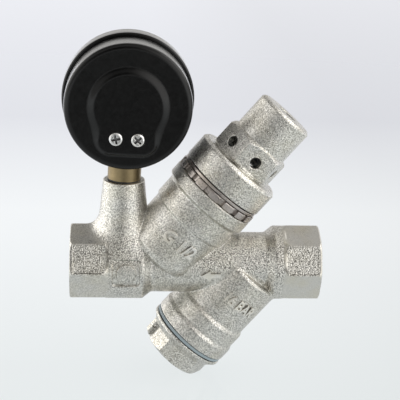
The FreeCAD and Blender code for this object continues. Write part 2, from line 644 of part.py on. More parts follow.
def screw_bar(side, radius, y0, y1):
    """Cylinder along the depth of the case at one of the two case screws."""
    base = Vector(side * SCREW_SPACING / 2.0, y0, GAUGE_RISE - SCREW_DROP)
    return placed(Part.makeCylinder(radius, y1 - y0, base, Vector(0, 1, 0)), GAUGE)


def pad_layer(radius, low, low_w, y, depth):
    """One flat layer of the keyhole pad, grown toward -Y."""
    disc = Part.makeCylinder(radius, depth, Vector(0, y - depth, GAUGE_RISE), Vector(0, 1, 0))
    bend = 4.0
    side_z = GAUGE_RISE - radius * math.sin(math.radians(20.0))
    side_x = radius * math.cos(math.radians(20.0))
    foot_z = GAUGE_RISE - low
    points = [Vector(-side_x, y, side_z), Vector(side_x, y, side_z),
              Vector(low_w + 1.2, y, foot_z + bend), Vector(low_w - bend, y, foot_z),
              Vector(-low_w + bend, y, foot_z), Vector(-low_w - 1.2, y, foot_z + bend)]
    foot = Part.Face(Part.makePolygon(points + [points[0]])).extrude(Vector(0, -depth, 0))
    return disc.fuse(foot).removeSplitter()


def gauge_case():
    bend = CASE_ROUND * 0.3
    shell = turned([
        (CASE_BACK, 0), (CASE_BACK, CASE_R - CASE_ROUND), (CASE_BACK + bend, CASE_R - bend),
        (CASE_BACK + CASE_ROUND, CASE_R), (CASE_FRONT, CASE_R), (CASE_FRONT, CASE_R - CASE_WALL),
        (CASE_BACK + CASE_WALL, CASE_R - CASE_WALL), (CASE_BACK + CASE_WALL, 0)], DIAL)
    layers = 3
    pads = []
    for k in range(layers):
        share = (k + 1.0) / layers
        radius = PAD_FOOT_R + (PAD_TOP_R - PAD_FOOT_R) * share
        shrink = PAD_FOOT_R - radius
        layer = pad_layer(radius, PAD_LOW - shrink * 0.5, PAD_LOW_W - shrink * 0.7,
                          CASE_BACK, PAD_H * share)
        pads.append(placed(layer, GAUGE))
    stem_hole = rod(-1.0, GAUGE_RISE - CASE_R + CASE_WALL + 3.0, STEM_NECK_R + RUNNING, GAUGE)
    screws = [screw_bar(side, SCREW_SHANK_R + RUNNING, CASE_BACK - 3.0, CASE_BACK + 3.0)
              for side in (-1, 1)]
    return shell.fuse(pads).cut([stem_hole] + screws)


def case_spacer():
    """Block that fills the gap between the socket and the back of the case."""
    y0 = CASE_BACK + CASE_WALL
    low = GAUGE_RISE - SCREW_DROP - 3.0
    plate = block(-SOCKET_W / 2.0, SOCKET_W / 2.0, y0, SOCKET_BACK, low, low + 6.0, GAUGE)
    holes = [screw_bar(side, SCREW_SHANK_R + RUNNING, y0 - 1.0, SOCKET_BACK + 1.0)
             for side in (-1, 1)]
    return plate.cut(holes)


def case_screw(side):
    head_y = CASE_BACK - PAD_H
    head = screw_bar(side, SCREW_HEAD_R, head_y - SCREW_HEAD_H, head_y)
    round_top = Part.makeSphere(SCREW_HEAD_R * 1.45)
    round_top.translate(Vector(side * SCREW_SPACING / 2.0,
                               head_y - SCREW_HEAD_H + SCREW_HEAD_R * 1.45,
                               GAUGE_RISE - SCREW_DROP))
    head = head.common(placed(round_top, GAUGE))
    shank = screw_bar(side, SCREW_SHANK_R - SEATED, head_y - 0.1, SOCKET_BACK + 4.0)
    centre = Vector(side * SCREW_SPACING / 2.0, head_y - SCREW_HEAD_H, GAUGE_RISE - SCREW_DROP)
    cross = []
    for wide, tall in ((0.3, 1.25), (1.25, 0.3)):
        bar = Part.makeBox(2 * wide, 0.9, 2 * tall, centre - Vector(wide, 0.1, tall))
        cross.append(placed(bar, GAUGE))
    return head.fuse(shank).cut(cross)


def gauge_bezel():
    return turned([
        (BEZEL_BACK, CASE_R + SEATED), (BEZEL_BACK, BEZEL_R - 0.4), (BEZEL_BACK + 0.4, BEZEL_R),
        (BEZEL_FRONT - 1.0, BEZEL_R), (BEZEL_FRONT, BEZEL_R - 1.0), (BEZEL_FRONT, BEZEL_LIP_R),
        (BEZEL_FRONT - BEZEL_WALL, BEZEL_LIP_R), (BEZEL_FRONT - BEZEL_WALL, CASE_R + SEATED)], DIAL)


def gauge_window():
    top = BEZEL_FRONT - BEZEL_WALL
    return rod(top - WINDOW_H, top, CASE_R - WINDOW_PLAY, DIAL)


def window_gasket():
    top = BEZEL_FRONT - BEZEL_WALL - WINDOW_H
    outer = CASE_R - WINDOW_PLAY
    return sleeve(CASE_FRONT, top, outer - WINDOW_GASKET_W, outer, DIAL)


def gauge_dial():
    dial = rod(DIAL_Y, DIAL_Y + DIAL_H, DIAL_R, DIAL)
    return dial.cut(rod(DIAL_Y - 1.0, DIAL_Y + 2.0, ARBOR_R + 0.5, DIAL))


# ---------------------------------------------------------------- gauge movement
BACK_PLATE = SOCKET_FRONT
FRONT_PLATE = SOCKET_FRONT + PLATE_T + MOVEMENT_GAP
SECTOR_R = PINION_R * GEAR_RATIO
CENTRES = PINION_R + SECTOR_R + MESH_GAP
SECTOR_TURN = 27.0         # the sector rests half of its swing off the middle
TAIL_L = 3.0
TAIL_ANGLE = 200.0
GEAR_Y = SOCKET_FRONT + PLATE_T + 1.2
GEAR_T = 1.0
PLATE_W = 12.0
PIVOT_R = 0.45


def on_dial(x, z, y=0.0):
    """Point of the movement, from the middle of the dial."""
    return Vector(x, y, GAUGE_RISE + z)


def bar_y(radius, x, z, y0, y1):
    return placed(Part.makeCylinder(radius, y1 - y0, on_dial(x, z, y0), Vector(0, 1, 0)), GAUGE)


def movement_plate(y):
    top = PINION_R + 4.0
    low = -CENTRES - 6.0
    plate = block(-PLATE_W / 2.0, PLATE_W / 2.0, y, y + PLATE_T,
                  GAUGE_RISE + low, GAUGE_RISE + top, GAUGE)
    holes = [bar_y(ARBOR_R + RUNNING, 0, 0, y - 1.0, y + 2.0),
             bar_y(PIVOT_R + RUNNING, 0, -CENTRES, y - 1.0, y + 2.0)]
    return plate.cut(holes)


def movement_pillar(x, z):
    return bar_y(1.0, x, z, BACK_PLATE + PLATE_T, FRONT_PLATE)


def toothed(radius, teeth, first, last, y, hub_r, centre_z):
    """Outline of a gear or sector: teeth over an arc, closed through the hub."""
    points = []
    step = 2.0 * math.pi / teeth
    count = int(round((last - first) / step))
    for k in range(count):
        a = first + k * step
        for share, height in ((0.0, -0.5), (0.25, -0.5), (0.42, 0.5), (0.58, 0.5), (0.75, -0.5)):
            r = radius + height * TOOTH_H
            t = a + share * step
            points.append(on_dial(r * math.cos(t), centre_z + r * math.sin(t), y))
    if hub_r is not None:
        for t in (last + 0.35, (first + last) / 2.0 + math.pi, first - 0.35):
            points.append(on_dial(hub_r * math.cos(t), centre_z + hub_r * math.sin(t), y))
    face = Part.Face(Part.makePolygon(points + [points[0]]))
    return placed(face.extrude(Vector(0, GEAR_T, 0)), GAUGE)


def pointer_arbor():
    pinion = toothed(PINION_R, PINION_TEETH, 0.0, 2.0 * math.pi, GEAR_Y, None, 0.0)
    shaft = bar_y(ARBOR_R, 0, 0, BACK_PLATE - 0.4, DIAL_Y + DIAL_H + 2.2)
    return pinion.fuse(shaft)


def gauge_pointer():
    y = DIAL_Y + DIAL_H + 1.0
    hub = bar_y(2.0, 0, 0, y, y + 1.0)
    zero = math.radians(POINTER_ZERO)
    along = Vector(math.cos(zero), 0, math.sin(zero))
    across = Vector(-math.sin(zero), 0, math.cos(zero))
    centre = on_dial(0, 0, y)
    side = across * 0.9
    tail = centre - along * POINTER_TAIL
    points = [centre + along * POINTER_L, centre + side, tail + side, tail - side, centre - side]
    blade = Part.Face(Part.makePolygon(points + [points[0]])).extrude(Vector(0, 0.4, 0))
    return hub.fuse(placed(blade, GAUGE)).cut(bar_y(ARBOR_R + SEATED, 0, 0, y - 1.0, y + 3.0))


def tail_point():
    a = math.radians(TAIL_ANGLE)
    return TAIL_L * math.cos(a), -CENTRES + TAIL_L * math.sin(a)


def sector_gear():
    middle = math.radians(90.0 + SECTOR_TURN)
    half = math.radians(SECTOR_SPAN / 2.0)
    sector = toothed(SECTOR_R, PINION_TEETH * GEAR_RATIO, middle - half, middle + half,
                     GEAR_Y, 1.6, -CENTRES)
    tail_x, tail_z = tail_point()
    start = on_dial(0, -CENTRES, GEAR_Y)
    end = on_dial(tail_x, tail_z, GEAR_Y)
    along = end.sub(start).normalize()
    across = Vector(-along.z, 0, along.x)
    arm_points = [start + across * 1.3, start - across * 1.3, end - across, end + across]
    arm = Part.Face(Part.makePolygon(arm_points + [arm_points[0]])).extrude(Vector(0, GEAR_T, 0))
    pivot = bar_y(PIVOT_R, 0, -CENTRES, BACK_PLATE + RUNNING, FRONT_PLATE + PLATE_T + 0.3)
    tip = bar_y(1.2, tail_x, tail_z, GEAR_Y, GEAR_Y + GEAR_T)
    pin = bar_y(0.4, tail_x, tail_z, GEAR_Y + GEAR_T - 0.2, GEAR_Y + GEAR_T + 1.0)
    return sector.fuse([placed(arm, GAUGE), pivot, tip, pin])


TUBE_BACK = -6.6
TUBE_START = 270.0 - 22.0
TUBE_MID_Y = TUBE_BACK + TUBE_DEPTH / 2.0


def tube_point(angle):
    a = math.radians(angle)
    return TUBE_R * math.cos(a), TUBE_R * math.sin(a)


def bourdon_tube():
    """Flattened C-shaped tube, closed at the tip."""
    def section(thick, depth):
        return Part.makePolygon([
            on_dial(TUBE_R - thick / 2.0, 0, TUBE_MID_Y - depth / 2.0),
            on_dial(TUBE_R + thick / 2.0, 0, TUBE_MID_Y - depth / 2.0),
            on_dial(TUBE_R + thick / 2.0, 0, TUBE_MID_Y + depth / 2.0),
            on_dial(TUBE_R - thick / 2.0, 0, TUBE_MID_Y + depth / 2.0),
            on_dial(TUBE_R - thick / 2.0, 0, TUBE_MID_Y - depth / 2.0)])
    outer = section(TUBE_THICK, TUBE_DEPTH)
    inner = section(TUBE_THICK - 2 * TUBE_WALL, TUBE_DEPTH - 2 * TUBE_WALL)
    centre = on_dial(0, 0)
    solid = Part.Face(outer).revolve(centre, Vector(0, -1, 0), TUBE_SWEEP)
    hollow = Part.Face(inner).revolve(centre, Vector(0, -1, 0), TUBE_SWEEP - 3.0)
    tube = solid.cut(hollow)
    tube.rotate(centre, Vector(0, -1, 0), 270.0 + 28.0)
    return placed(tube, GAUGE)


def tip_link():
    """Flat link from the tip of the tube to the tail of the sector."""
    tip_x, tip_z = tube_point(270.0 + 28.0 + TUBE_SWEEP - 360.0)
    tail_x, tail_z = tail_point()
    y = GEAR_Y + GEAR_T + 0.1
    reach = 0.78
    end_x = tail_x + (tip_x - tail_x) * reach
    end_z = tail_z + (tip_z - tail_z) * reach
    start = on_dial(tail_x, tail_z, y)
    end = on_dial(end_x, end_z, y)
    along = end.sub(start).normalize()
    across = Vector(-along.z, 0, along.x)
    points = [start + across * 0.8, start - across * 0.8, end - across * 0.8, end + across * 0.8]
    strip = Part.Face(Part.makePolygon(points + [points[0]])).extrude(Vector(0, 0.5, 0))
    ends = [bar_y(1.1, tail_x, tail_z, y, y + 0.5), bar_y(1.1, end_x, end_z, y, y + 0.5)]
    hole = bar_y(0.4 + RUNNING, tail_x, tail_z, y - 1.0, y + 2.0)
    return placed(strip, GAUGE).fuse(ends).cut(hole)


def hairspring():
    """Flat spiral spring around the arbor, between the pinion and the back plate."""
    y = GEAR_Y - 0.85
    turns = 4
    points = []
    for k in range(turns * 24 + 1):
        a = 2.0 * math.pi * k / 24
        r = 1.0 + 0.55 * a / (2.0 * math.pi)
        points.append((r, a))
    loop = [on_dial((r + 0.06) * math.cos(a), (r + 0.06) * math.sin(a), y) for r, a in points]
    loop += [on_dial((r - 0.06) * math.cos(a), (r - 0.06) * math.sin(a), y)
             for r, a in reversed(points)]
    face = Part.Face(Part.makePolygon(loop + [loop[0]]))
    return placed(face.extrude(Vector(0, 0.5, 0)), GAUGE)


save(valve_body(), "valve_body")
save(bonnet(), "bonnet")
save(lock_ring(), "lock_ring")
save(lock_band(), "lock_band")
save(adjusting_screw(), "adjusting_screw")
save(upper_spring_plate(), "upper_spring_plate")
save(main_spring(), "main_spring")
save(piston(), "piston")
save(piston_o_ring(), "piston_o_ring")
save(valve_stem(), "valve_stem")
save(piston_nut(), "piston_nut")
save(seat_insert(), "seat_insert")
save(seat_o_ring(), "seat_o_ring")
save(disc_holder(), "disc_holder")
save(valve_disc(), "valve_disc")
save(disc_nut(), "disc_nut")
save(strainer_screen(), "strainer_screen")
save(cap_gasket(), "cap_gasket")
save(strainer_cap(), "strainer_cap")
save(stem_seal(), "stem_seal")
save(gauge_stem(), "gauge_stem")
save(gauge_case(), "gauge_case")
save(case_spacer(), "case_spacer")
save(case_screw(-1), "case_screw_left")
save(case_screw(1), "case_screw_right")
save(gauge_bezel(), "gauge_bezel")
save(gauge_window(), "gauge_window")
save(window_gasket(), "window_gasket")
save(gauge_dial(), "gauge_dial")
save(movement_plate(BACK_PLATE), "movement_back_plate")
save(movement_plate(FRONT_PLATE), "movement_front_plate")
save(movement_pillar(-4.5, 3.5), "pillar_upper")
save(movement_pillar(4.5, -CENTRES - 4.5), "pillar_lower")
save(pointer_arbor(), "pointer_arbor")
save(gauge_pointer(), "gauge_pointer")
save(sector_gear(), "sector_gear")
save(bourdon_tube(), "bourdon_tube")
save(tip_link(), "tip_link")
save(hairspring(), "hairspring")
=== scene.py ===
import math

import bmesh
import bpy
import numpy as np
from mathutils import Matrix, Quaternion, Vector


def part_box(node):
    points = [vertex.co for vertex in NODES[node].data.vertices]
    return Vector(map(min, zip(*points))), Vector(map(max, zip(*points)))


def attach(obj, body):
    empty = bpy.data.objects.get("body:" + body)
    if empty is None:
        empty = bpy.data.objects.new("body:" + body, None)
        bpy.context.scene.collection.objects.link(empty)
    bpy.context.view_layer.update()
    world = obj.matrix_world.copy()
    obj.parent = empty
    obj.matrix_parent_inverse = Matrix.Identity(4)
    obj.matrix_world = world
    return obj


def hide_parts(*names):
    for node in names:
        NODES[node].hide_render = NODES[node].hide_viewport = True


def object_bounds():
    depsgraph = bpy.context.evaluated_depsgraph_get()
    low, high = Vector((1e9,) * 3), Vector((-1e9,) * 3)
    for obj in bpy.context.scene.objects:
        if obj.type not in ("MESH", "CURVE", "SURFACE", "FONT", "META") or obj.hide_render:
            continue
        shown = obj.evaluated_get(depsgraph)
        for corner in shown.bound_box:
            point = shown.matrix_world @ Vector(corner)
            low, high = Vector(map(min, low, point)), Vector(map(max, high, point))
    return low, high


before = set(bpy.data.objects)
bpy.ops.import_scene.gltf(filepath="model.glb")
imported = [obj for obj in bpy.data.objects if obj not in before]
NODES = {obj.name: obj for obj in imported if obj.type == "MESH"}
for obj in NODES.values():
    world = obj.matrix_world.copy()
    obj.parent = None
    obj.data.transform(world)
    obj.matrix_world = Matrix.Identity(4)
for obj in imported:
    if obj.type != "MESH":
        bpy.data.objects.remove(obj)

# The look of a DN15 pressure reducing valve.  Sizes are in millimetres and meshes in
# metres.  A shape is a distance field or a turned profile.  Stations run along the
# axis of each branch, from the pipe axis outward.
CAD_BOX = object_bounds()
MM = 0.001

# ---------------------------------------------------------------- frame
BRANCH_SLOPE = math.radians(50.0)
UP_DIR = Vector((math.cos(BRANCH_SLOPE), 0, math.sin(BRANCH_SLOPE)))
FRONT = Vector((0, -1, 0))
OUTLET_X, INLET_X = (v.x / MM for v in (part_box("valve_body")[0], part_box("valve_body")[1]))
MID_X = (OUTLET_X + INLET_X) / 2
BONNET_FOOT = MID_X - 17.0
STRAINER_FOOT = MID_X + 24.0
GAUGE_X = MID_X - 27.5
BOSS_TOP = 33.0
GAUGE_LEAN = math.radians(2.3)
GAUGE_RISE = 29.25


def local_axes(origin, along, front):
    """Matrix whose Z runs along one direction and X along another, in millimetres."""
    side = along.cross(front)
    turn = Matrix((front, side, along)).transposed().to_4x4()
    return Matrix.Translation(origin) @ turn


UPPER = local_axes(Vector((BONNET_FOOT, 0, 0)), UP_DIR, FRONT)
LOWER = local_axes(Vector((STRAINER_FOOT, 0, 0)), -UP_DIR, FRONT)
GAUGE = Matrix.Translation((GAUGE_X, 0, BOSS_TOP)) @ Matrix.Rotation(GAUGE_LEAN, 4, "Y")
# Gauge frame: X to the right, Y up, Z toward the back of the case.
DIAL = GAUGE @ local_axes(Vector((0, 0, GAUGE_RISE)), FRONT, Vector((1, 0, 0)))

# ---------------------------------------------------------------- sizes of the casting
PORT_R = 10.48
PORT_DEPTH = 15.0
FLOW_R = 7.5
FLATS = 28.0
NECK_R = 11.6
COLLAR_R = 14.2
OCTAGON_L = 12.7
OCTAGON_SLOPE = 2.2
OUTLET_COLLAR = 12.6
INLET_COLLAR = 2.6
COLLAR_SLOPE = 3.2
MOUTH_CHAMFER = 0.8
CORNER_R = FLATS / 2 / math.cos(math.pi / 8)
UPPER_PROFILE = ((3.2, 11.6), (4.6, 14.2), (7.0, 15.4), (22.4, 15.4), (23.0, 16.1), (31.2, 16.1),
                 (32.2, 17.57), (37.1, 17.57))
LOWER_PROFILE = ((3.6, 13.5), (4.6, 14.5), (24.6, 14.5), (25.8, 15.4), (31.6, 15.4),
                 (32.8, 16.1), (37.8, 16.1))
BOSS_PROFILE = ((0.0, 11.5), (11.0, 11.5), (20.0, 9.1), (BOSS_TOP, 7.8))
CYLINDER_R = 11.5          # bore that the piston slides in
CYLINDER_FOOT = 13.5
BONNET_BORE_R = 14.1       # bore that the bonnet screws into
BONNET_BORE_FOOT = 25.5
BRANCH_WAY_R = 8.0         # water way from the inlet into the strainer branch
CHAMBER_R = 11.3           # room for the screen
CHAMBER_FOOT = 6.0
CAP_BORE_R = 12.3          # bore that the cap screws into
CAP_BORE_FOOT = 30.0
BORE_END = 40.0            # past the mouth of both branches

# The blank pad on the outlet collar, and the facets left as cast on both octagons.
PAD_X = MID_X - 26.4
PAD_HALF = (5.1, 5.4)
PAD_DEPTH = 0.8
PAD_DISC_R = 3.7
PANEL_HALF = (5.35, 5.2)
PANEL_IN = 1.5
PANEL_DEPTH = 0.35

# Thread in the ports, and the height of the raised marks.
THREAD_PITCH = 1.814
THREAD_TURNS = 7.3
THREAD_CREST_R = 9.35
THREAD_START = 1.0
MARK_H = 0.85

# ---------------------------------------------------------------- sizes of the bonnet
# Stations are along the upper branch; those of the cap are along the lower one.
BONNET_R = 17.4
HEX_BOTTOM = 51.79
HEX_TOP = 62.69
HEX_FLATS = 24.0
HEX_TURN = math.radians(4.0)
LEDGE_R = 12.4
LEDGE_H = 0.9
VENT_UP = 5.2
VENT_R = 2.1
KNOB_R = 11.3
KNOB_TOP = 77.28
SCREW_HOLE_R = 4.05
SKIRT_FOOT = 27.2          # threaded skirt that screws into the body
SKIRT_R = 14.05
SKIRT_BORE_R = 12.0
SKIRT_BORE_TOP = 44.0
WELL_R = 9.5               # room for the spring
WELL_TOP = 73.7
RING_BOTTOM = 37.12
RING_H = 2.9
RING_R = 17.45
RING_BORE = 14.1
SLOTS = 16
SLOT_W = 2.2
SLOT_DEPTH = 1.3
BAND_BOTTOM = 40.02
BAND_H = 1.35
BAND_R = 17.1
GAP = 0.14                 # dark joint beside the ring, the band and the gasket

# ---------------------------------------------------------------- sizes of the cap
CAP_FOOT = 30.6            # inner end of the cap's thread
CAP_PLUG_R = 12.25
CAP_SOCKET_R = 9.35        # socket that holds the screen
CAP_SOCKET_END = 43.62
CAP_SEAT = 39.3
CAP_HEX = 42.3
CAP_END = 49.8
CAP_FLANGE_R = 16.1
CAP_FLATS = 24.5
CAP_TURN = math.radians(3.0)
TAB_IN = 11.5              # tab for the seal wire: how far out it starts
TAB_FRONT = 1.0
WIRE_HOLE_R = 0.45
WIRE_HOLE_FLARE = 0.25
GASKET_BOTTOM = 37.82
GASKET_TOP = 39.28
GASKET_R = 15.85
GASKET_BORE = 12.4

# ---------------------------------------------------------------- sizes of the gauge
# Stations are from the middle of the stem, toward the back of the case.
CASE_R = 23.45
CASE_BACK = 9.0
CASE_FRONT = -13.0
CASE_WALL = 1.0
CASE_EDGE = 2.2            # rounding between the side and the back
STEM_NOTCH_R = 6.35
PAD_H = 0.9
PAD_SLOPE_W = 3.0          # width of the slope round the pad, less at its foot
PAD_FOOT_SLOPE_W = 1.6
BEZEL_R = 24.84
BEZEL_BACK = -6.4
BEZEL_FRONT = -16.1
BEZEL_LIP_R = 21.6
SCREW_X = 4.0
SCREW_DROP = 11.4
SCREW_HEAD_R = 2.55
SCREW_HEAD_H = 1.2
SCREW_SHANK_R = 1.45
DIAL_FACE = -8.7
DIAL_ZERO = 225.0          # bearing of zero, in degrees
DIAL_SWEEP = -270.0
DIAL_TOP_BAR = 10
TICK_OUTER_R = 19.4
NUMBER_R = 12.9


# ---------------------------------------------------------------- distance fields
def blend_min(a, b, k):
    """Union of two fields with a fillet about k wide."""
    h = np.clip(0.5 + 0.5 * (b - a) / k, 0.0, 1.0)
    return b + (a - b) * h - k * h * (1.0 - h)


def blend_max(a, b, k):
    """Intersection of two fields with its edge rounded over about k."""
    return -blend_min(-a, -b, k)


def soft_profile(points, soft):
    """Radius against station as a function, its corners rounded over about soft."""
    step = 0.05
    stations = np.arange(points[0][0], points[-1][0] + step, step)
    radius = np.interp(stations, *zip(*points))
    reach = max(1, int(3 * soft / step))
    weights = np.exp(-0.5 * (np.arange(-reach, reach + 1) * step / soft) ** 2)
    padded = np.pad(radius, reach, mode="edge")
    radius = np.convolve(padded, weights / weights.sum(), "valid")
    return lambda s: np.interp(s, stations, radius)


def slab(s, low, high):
    """Space between two stations."""
    return np.maximum(low - s, s - high)


def flats(a, b, across, count, turn):
    """Regular prism about Z, with a flat facing the direction at angle turn."""
    out = None
    for k in range(count):
        t = turn + 2 * math.pi * k / count
        side = a * math.cos(t) + b * math.sin(t) - across / 2
        out = side if out is None else blend_max(out, side, 0.35)
    return out


def rounded_box(a, b, half_a, half_b, r):
    """Rectangle of the given half sizes with corners of radius r."""
    qa, qb = np.abs(a) - half_a + r, np.abs(b) - half_b + r
    return np.hypot(np.maximum(qa, 0), np.maximum(qb, 0)) + np.minimum(np.maximum(qa, qb), 0) - r


# ---------------------------------------------------------------- from fields to meshes
def surface_net(field, low, high, step):
    """Vertices and quads of the field's zero surface, one vertex to a cell."""
    ticks = [np.arange(a, b + step, step, dtype=np.float32) for a, b in zip(low, high)]
    shape = tuple(len(t) for t in ticks)
    value = np.broadcast_to(field(*np.meshgrid(*ticks, indexing="ij", sparse=True)), shape)
    value = np.ascontiguousarray(value, dtype=np.float32)
    inside = value < 0
    cells = tuple(n - 1 for n in shape)
    total = np.zeros(cells[0] * cells[1] * cells[2], np.float32)
    sums = [total.copy() for _ in range(3)]
    quads = []
    for axis in range(3):
        second, third = (axis + 1) % 3, (axis + 2) % 3
        lower = tuple(slice(0, -1) if k == axis else slice(None) for k in range(3))
        upper = tuple(slice(1, None) if k == axis else slice(None) for k in range(3))
        at = np.argwhere(inside[lower] != inside[upper])
        ok = (at[:, second] > 0) & (at[:, third] > 0)
        ok &= (at[:, second] < shape[second] - 1) & (at[:, third] < shape[third] - 1)
        at = at[ok]
        first = value[tuple(at.T)]
        beyond = at.copy()
        beyond[:, axis] += 1
        last = value[tuple(beyond.T)]
        place = at.astype(np.float32)
        place[:, axis] += first / (first - last)
        corners = []
        for back2, back3 in ((1, 1), (0, 1), (0, 0), (1, 0)):
            cell = at.copy()
            cell[:, second] -= back2
            cell[:, third] -= back3
            corners.append(np.ravel_multi_index(tuple(cell.T), cells))
        for cell in corners:
            total += np.bincount(cell, minlength=len(total)).astype(np.float32)
            for k in range(3):
                shares = np.bincount(cell, weights=place[:, k], minlength=len(total))
                sums[k] += shares.astype(np.float32)
        quad = np.stack(corners, 1)
        outward = first < 0
        quad[~outward] = quad[~outward][:, ::-1]
        quads.append(quad)
    used = np.flatnonzero(total)
    number = np.full(len(total), -1, np.int64)
    number[used] = np.arange(len(used))
    points = np.stack([s[used] / total[used] for s in sums], 1).astype(np.float64) * step
    points += np.array([t[0] for t in ticks])
    return points, number[np.concatenate(quads)]


def slopes(field, p):
    """Gradient of the field at each point, by central differences."""
    eps = 0.02
    out = np.empty_like(p)
    for k in range(3):
        a, b = p.copy(), p.copy()
        a[:, k] -= eps
        b[:, k] += eps
        out[:, k] = (field(*b.T) - field(*a.T)) / (2 * eps)
    return out


def add_object(name, data):
    ob = bpy.data.objects.new(name, data)
    bpy.context.scene.collection.objects.link(ob)
    return ob


def field_mesh(name, field, low, high, step, at=Matrix.Identity(4)):
    """Object of a distance field: its vertices lie on the surface, with true normals."""
    points, quads = surface_net(field, low, high, step)
    for _ in range(4):
        g = slopes(field, points)
        move = field(*points.T) / np.maximum((g * g).sum(1), 0.05)
        points -= g * np.clip(move, -step, step)[:, None]
    normal = slopes(field, points)
    normal /= np.maximum(np.linalg.norm(normal, axis=1), 1e-6)[:, None]
    turn = np.array(at.to_3x3())
    points = points @ turn.T + np.array(at.translation)
    mesh = bpy.data.meshes.new(name)
    mesh.from_pydata((points * MM).tolist(), [], quads.tolist())
    mesh.update()
    mesh.shade_smooth()
    mesh.normals_split_custom_set_from_vertices((normal @ turn.T).tolist())
    return add_object(name, mesh)


def plain_mesh(name, points, faces, at=Matrix.Identity(4), smooth=True):
    """Object of points in millimetres and faces, placed by a matrix in millimetres."""
    mesh = bpy.data.meshes.new(name)
    moved = [(at @ Vector(p)) * MM for p in points]
    mesh.from_pydata(moved, [], faces)
    bm = bmesh.new()
    bm.from_mesh(mesh)
    bmesh.ops.remove_doubles(bm, verts=bm.verts, dist=1e-7)
    bmesh.ops.recalc_face_normals(bm, faces=bm.faces)
    bm.to_mesh(mesh)
    bm.free()
    if smooth:
        mesh.shade_smooth()
    return add_object(name, mesh)


def turned_mesh(name, profile, at, bevel=0.2, segments=128):
    """Closed profile of (station, radius) points turned about Z, with its edges bevelled."""
    points, faces = [], []
    count = len(profile)
    for k in range(segments):
        a = 2 * math.pi * k / segments
        points += [(r * math.cos(a), r * math.sin(a), s) for s, r in profile]
    for k in range(segments):
        here, there = k * count, (k + 1) % segments * count
        faces += [(here + i, here + (i + 1) % count, there + (i + 1) % count, there + i)
                  for i in range(count)]
    ob = plain_mesh(name, points, faces, at)
    round_off(ob, bevel)
    return ob


def round_off(ob, width):
    """Bevel the sharp edges and apply the bevel to the mesh."""
    bevel = ob.modifiers.new("edges", "BEVEL")
    bevel.width = width * MM
    bevel.segments = 3
    bevel.limit_method = "ANGLE"
    bevel.angle_limit = math.radians(28.0)
    bevel.use_clamp_overlap = True
    bevel.harden_normals = True
    bpy.context.view_layer.objects.active = ob
    with bpy.context.temp_override(object=ob, active_object=ob):
        bpy.ops.object.modifier_apply(modifier=bevel.name)


def point_values(mesh, name, values):
    """A number for each vertex, for the materials to read."""
    mesh.attributes.new(name, "FLOAT", "POINT").data.foreach_set("value", values)


# ---------------------------------------------------------------- materials
class Nodes:
    """A node tree and the few calls that build it."""

    def __init__(self, tree):
        self.tree = tree

    def node(self, kind, inputs=None, **settings):
        made = self.tree.nodes.new("ShaderNode" + kind)
        for key, value in settings.items():
            setattr(made, key, value)
        for key, value in (inputs or {}).items():
            if isinstance(value, bpy.types.NodeSocket):
                self.tree.links.new(value, made.inputs[key])
            else:
                made.inputs[key].default_value = value
        return made

    def spread(self, value, low, high, to_low, to_high):
        """Value carried from one range to another, and held at its ends."""
        made = self.node("MapRange", {"Value": value, "From Min": low, "From Max": high,
                                      "To Min": to_low, "To Max": to_high})
        return made.outputs["Result"]

    def maths(self, operation, a, b):
        return self.node("Math", {0: a, 1: b}, operation=operation).outputs[0]

    def vector(self, operation, *values):
        return self.node("VectorMath", dict(enumerate(values)), operation=operation)

    def mixed(self, share, first, second):
        """Colour between two colours or sockets."""
        made = self.node("Mix", data_type="RGBA")
        for socket, value in ((made.inputs["Factor"], share), (made.inputs["A"], first),
                              (made.inputs["B"], second)):
            if isinstance(value, bpy.types.NodeSocket):
                self.tree.links.new(value, socket)
            else:
                socket.default_value = (*value, 1) if isinstance(value, tuple) else value
        return made.outputs["Result"]


class Finish(Nodes):
    """A material whose look is a Principled shader and patterns fixed to the object."""

    def __init__(self, name, colour, rough, metallic=0.0):
        self.material = bpy.data.materials.new(name)
        self.material.use_nodes = True
        super().__init__(self.material.node_tree)
        self.shader = self.tree.nodes["Principled BSDF"]
        self.shader.inputs["Base Color"].default_value = (*colour, 1)
        self.shader.inputs["Roughness"].default_value = rough
        self.shader.inputs["Metallic"].default_value = metallic
        self.where = self.node("TexCoord").outputs["Object"]

    def noise(self, size_mm, detail=2.0, rough=0.5):
        """Noise whose features are about size_mm across, from 0 to 1."""
        made = self.node("TexNoise", {"Vector": self.where, "Scale": 1000.0 / size_mm,
                                      "Detail": detail, "Roughness": rough})
        return made.outputs["Fac"]

    def attribute(self, name):
        return self.node("Attribute", attribute_name=name).outputs["Fac"]

    def set(self, socket, value):
        self.tree.links.new(value, self.shader.inputs[socket])

    def bump(self, height, distance_mm, strength=1.0, after=None):
        inputs = {"Height": height, "Distance": distance_mm * MM, "Strength": strength}
        if after is not None:
            inputs["Normal"] = after
        return self.node("Bump", inputs).outputs["Normal"]


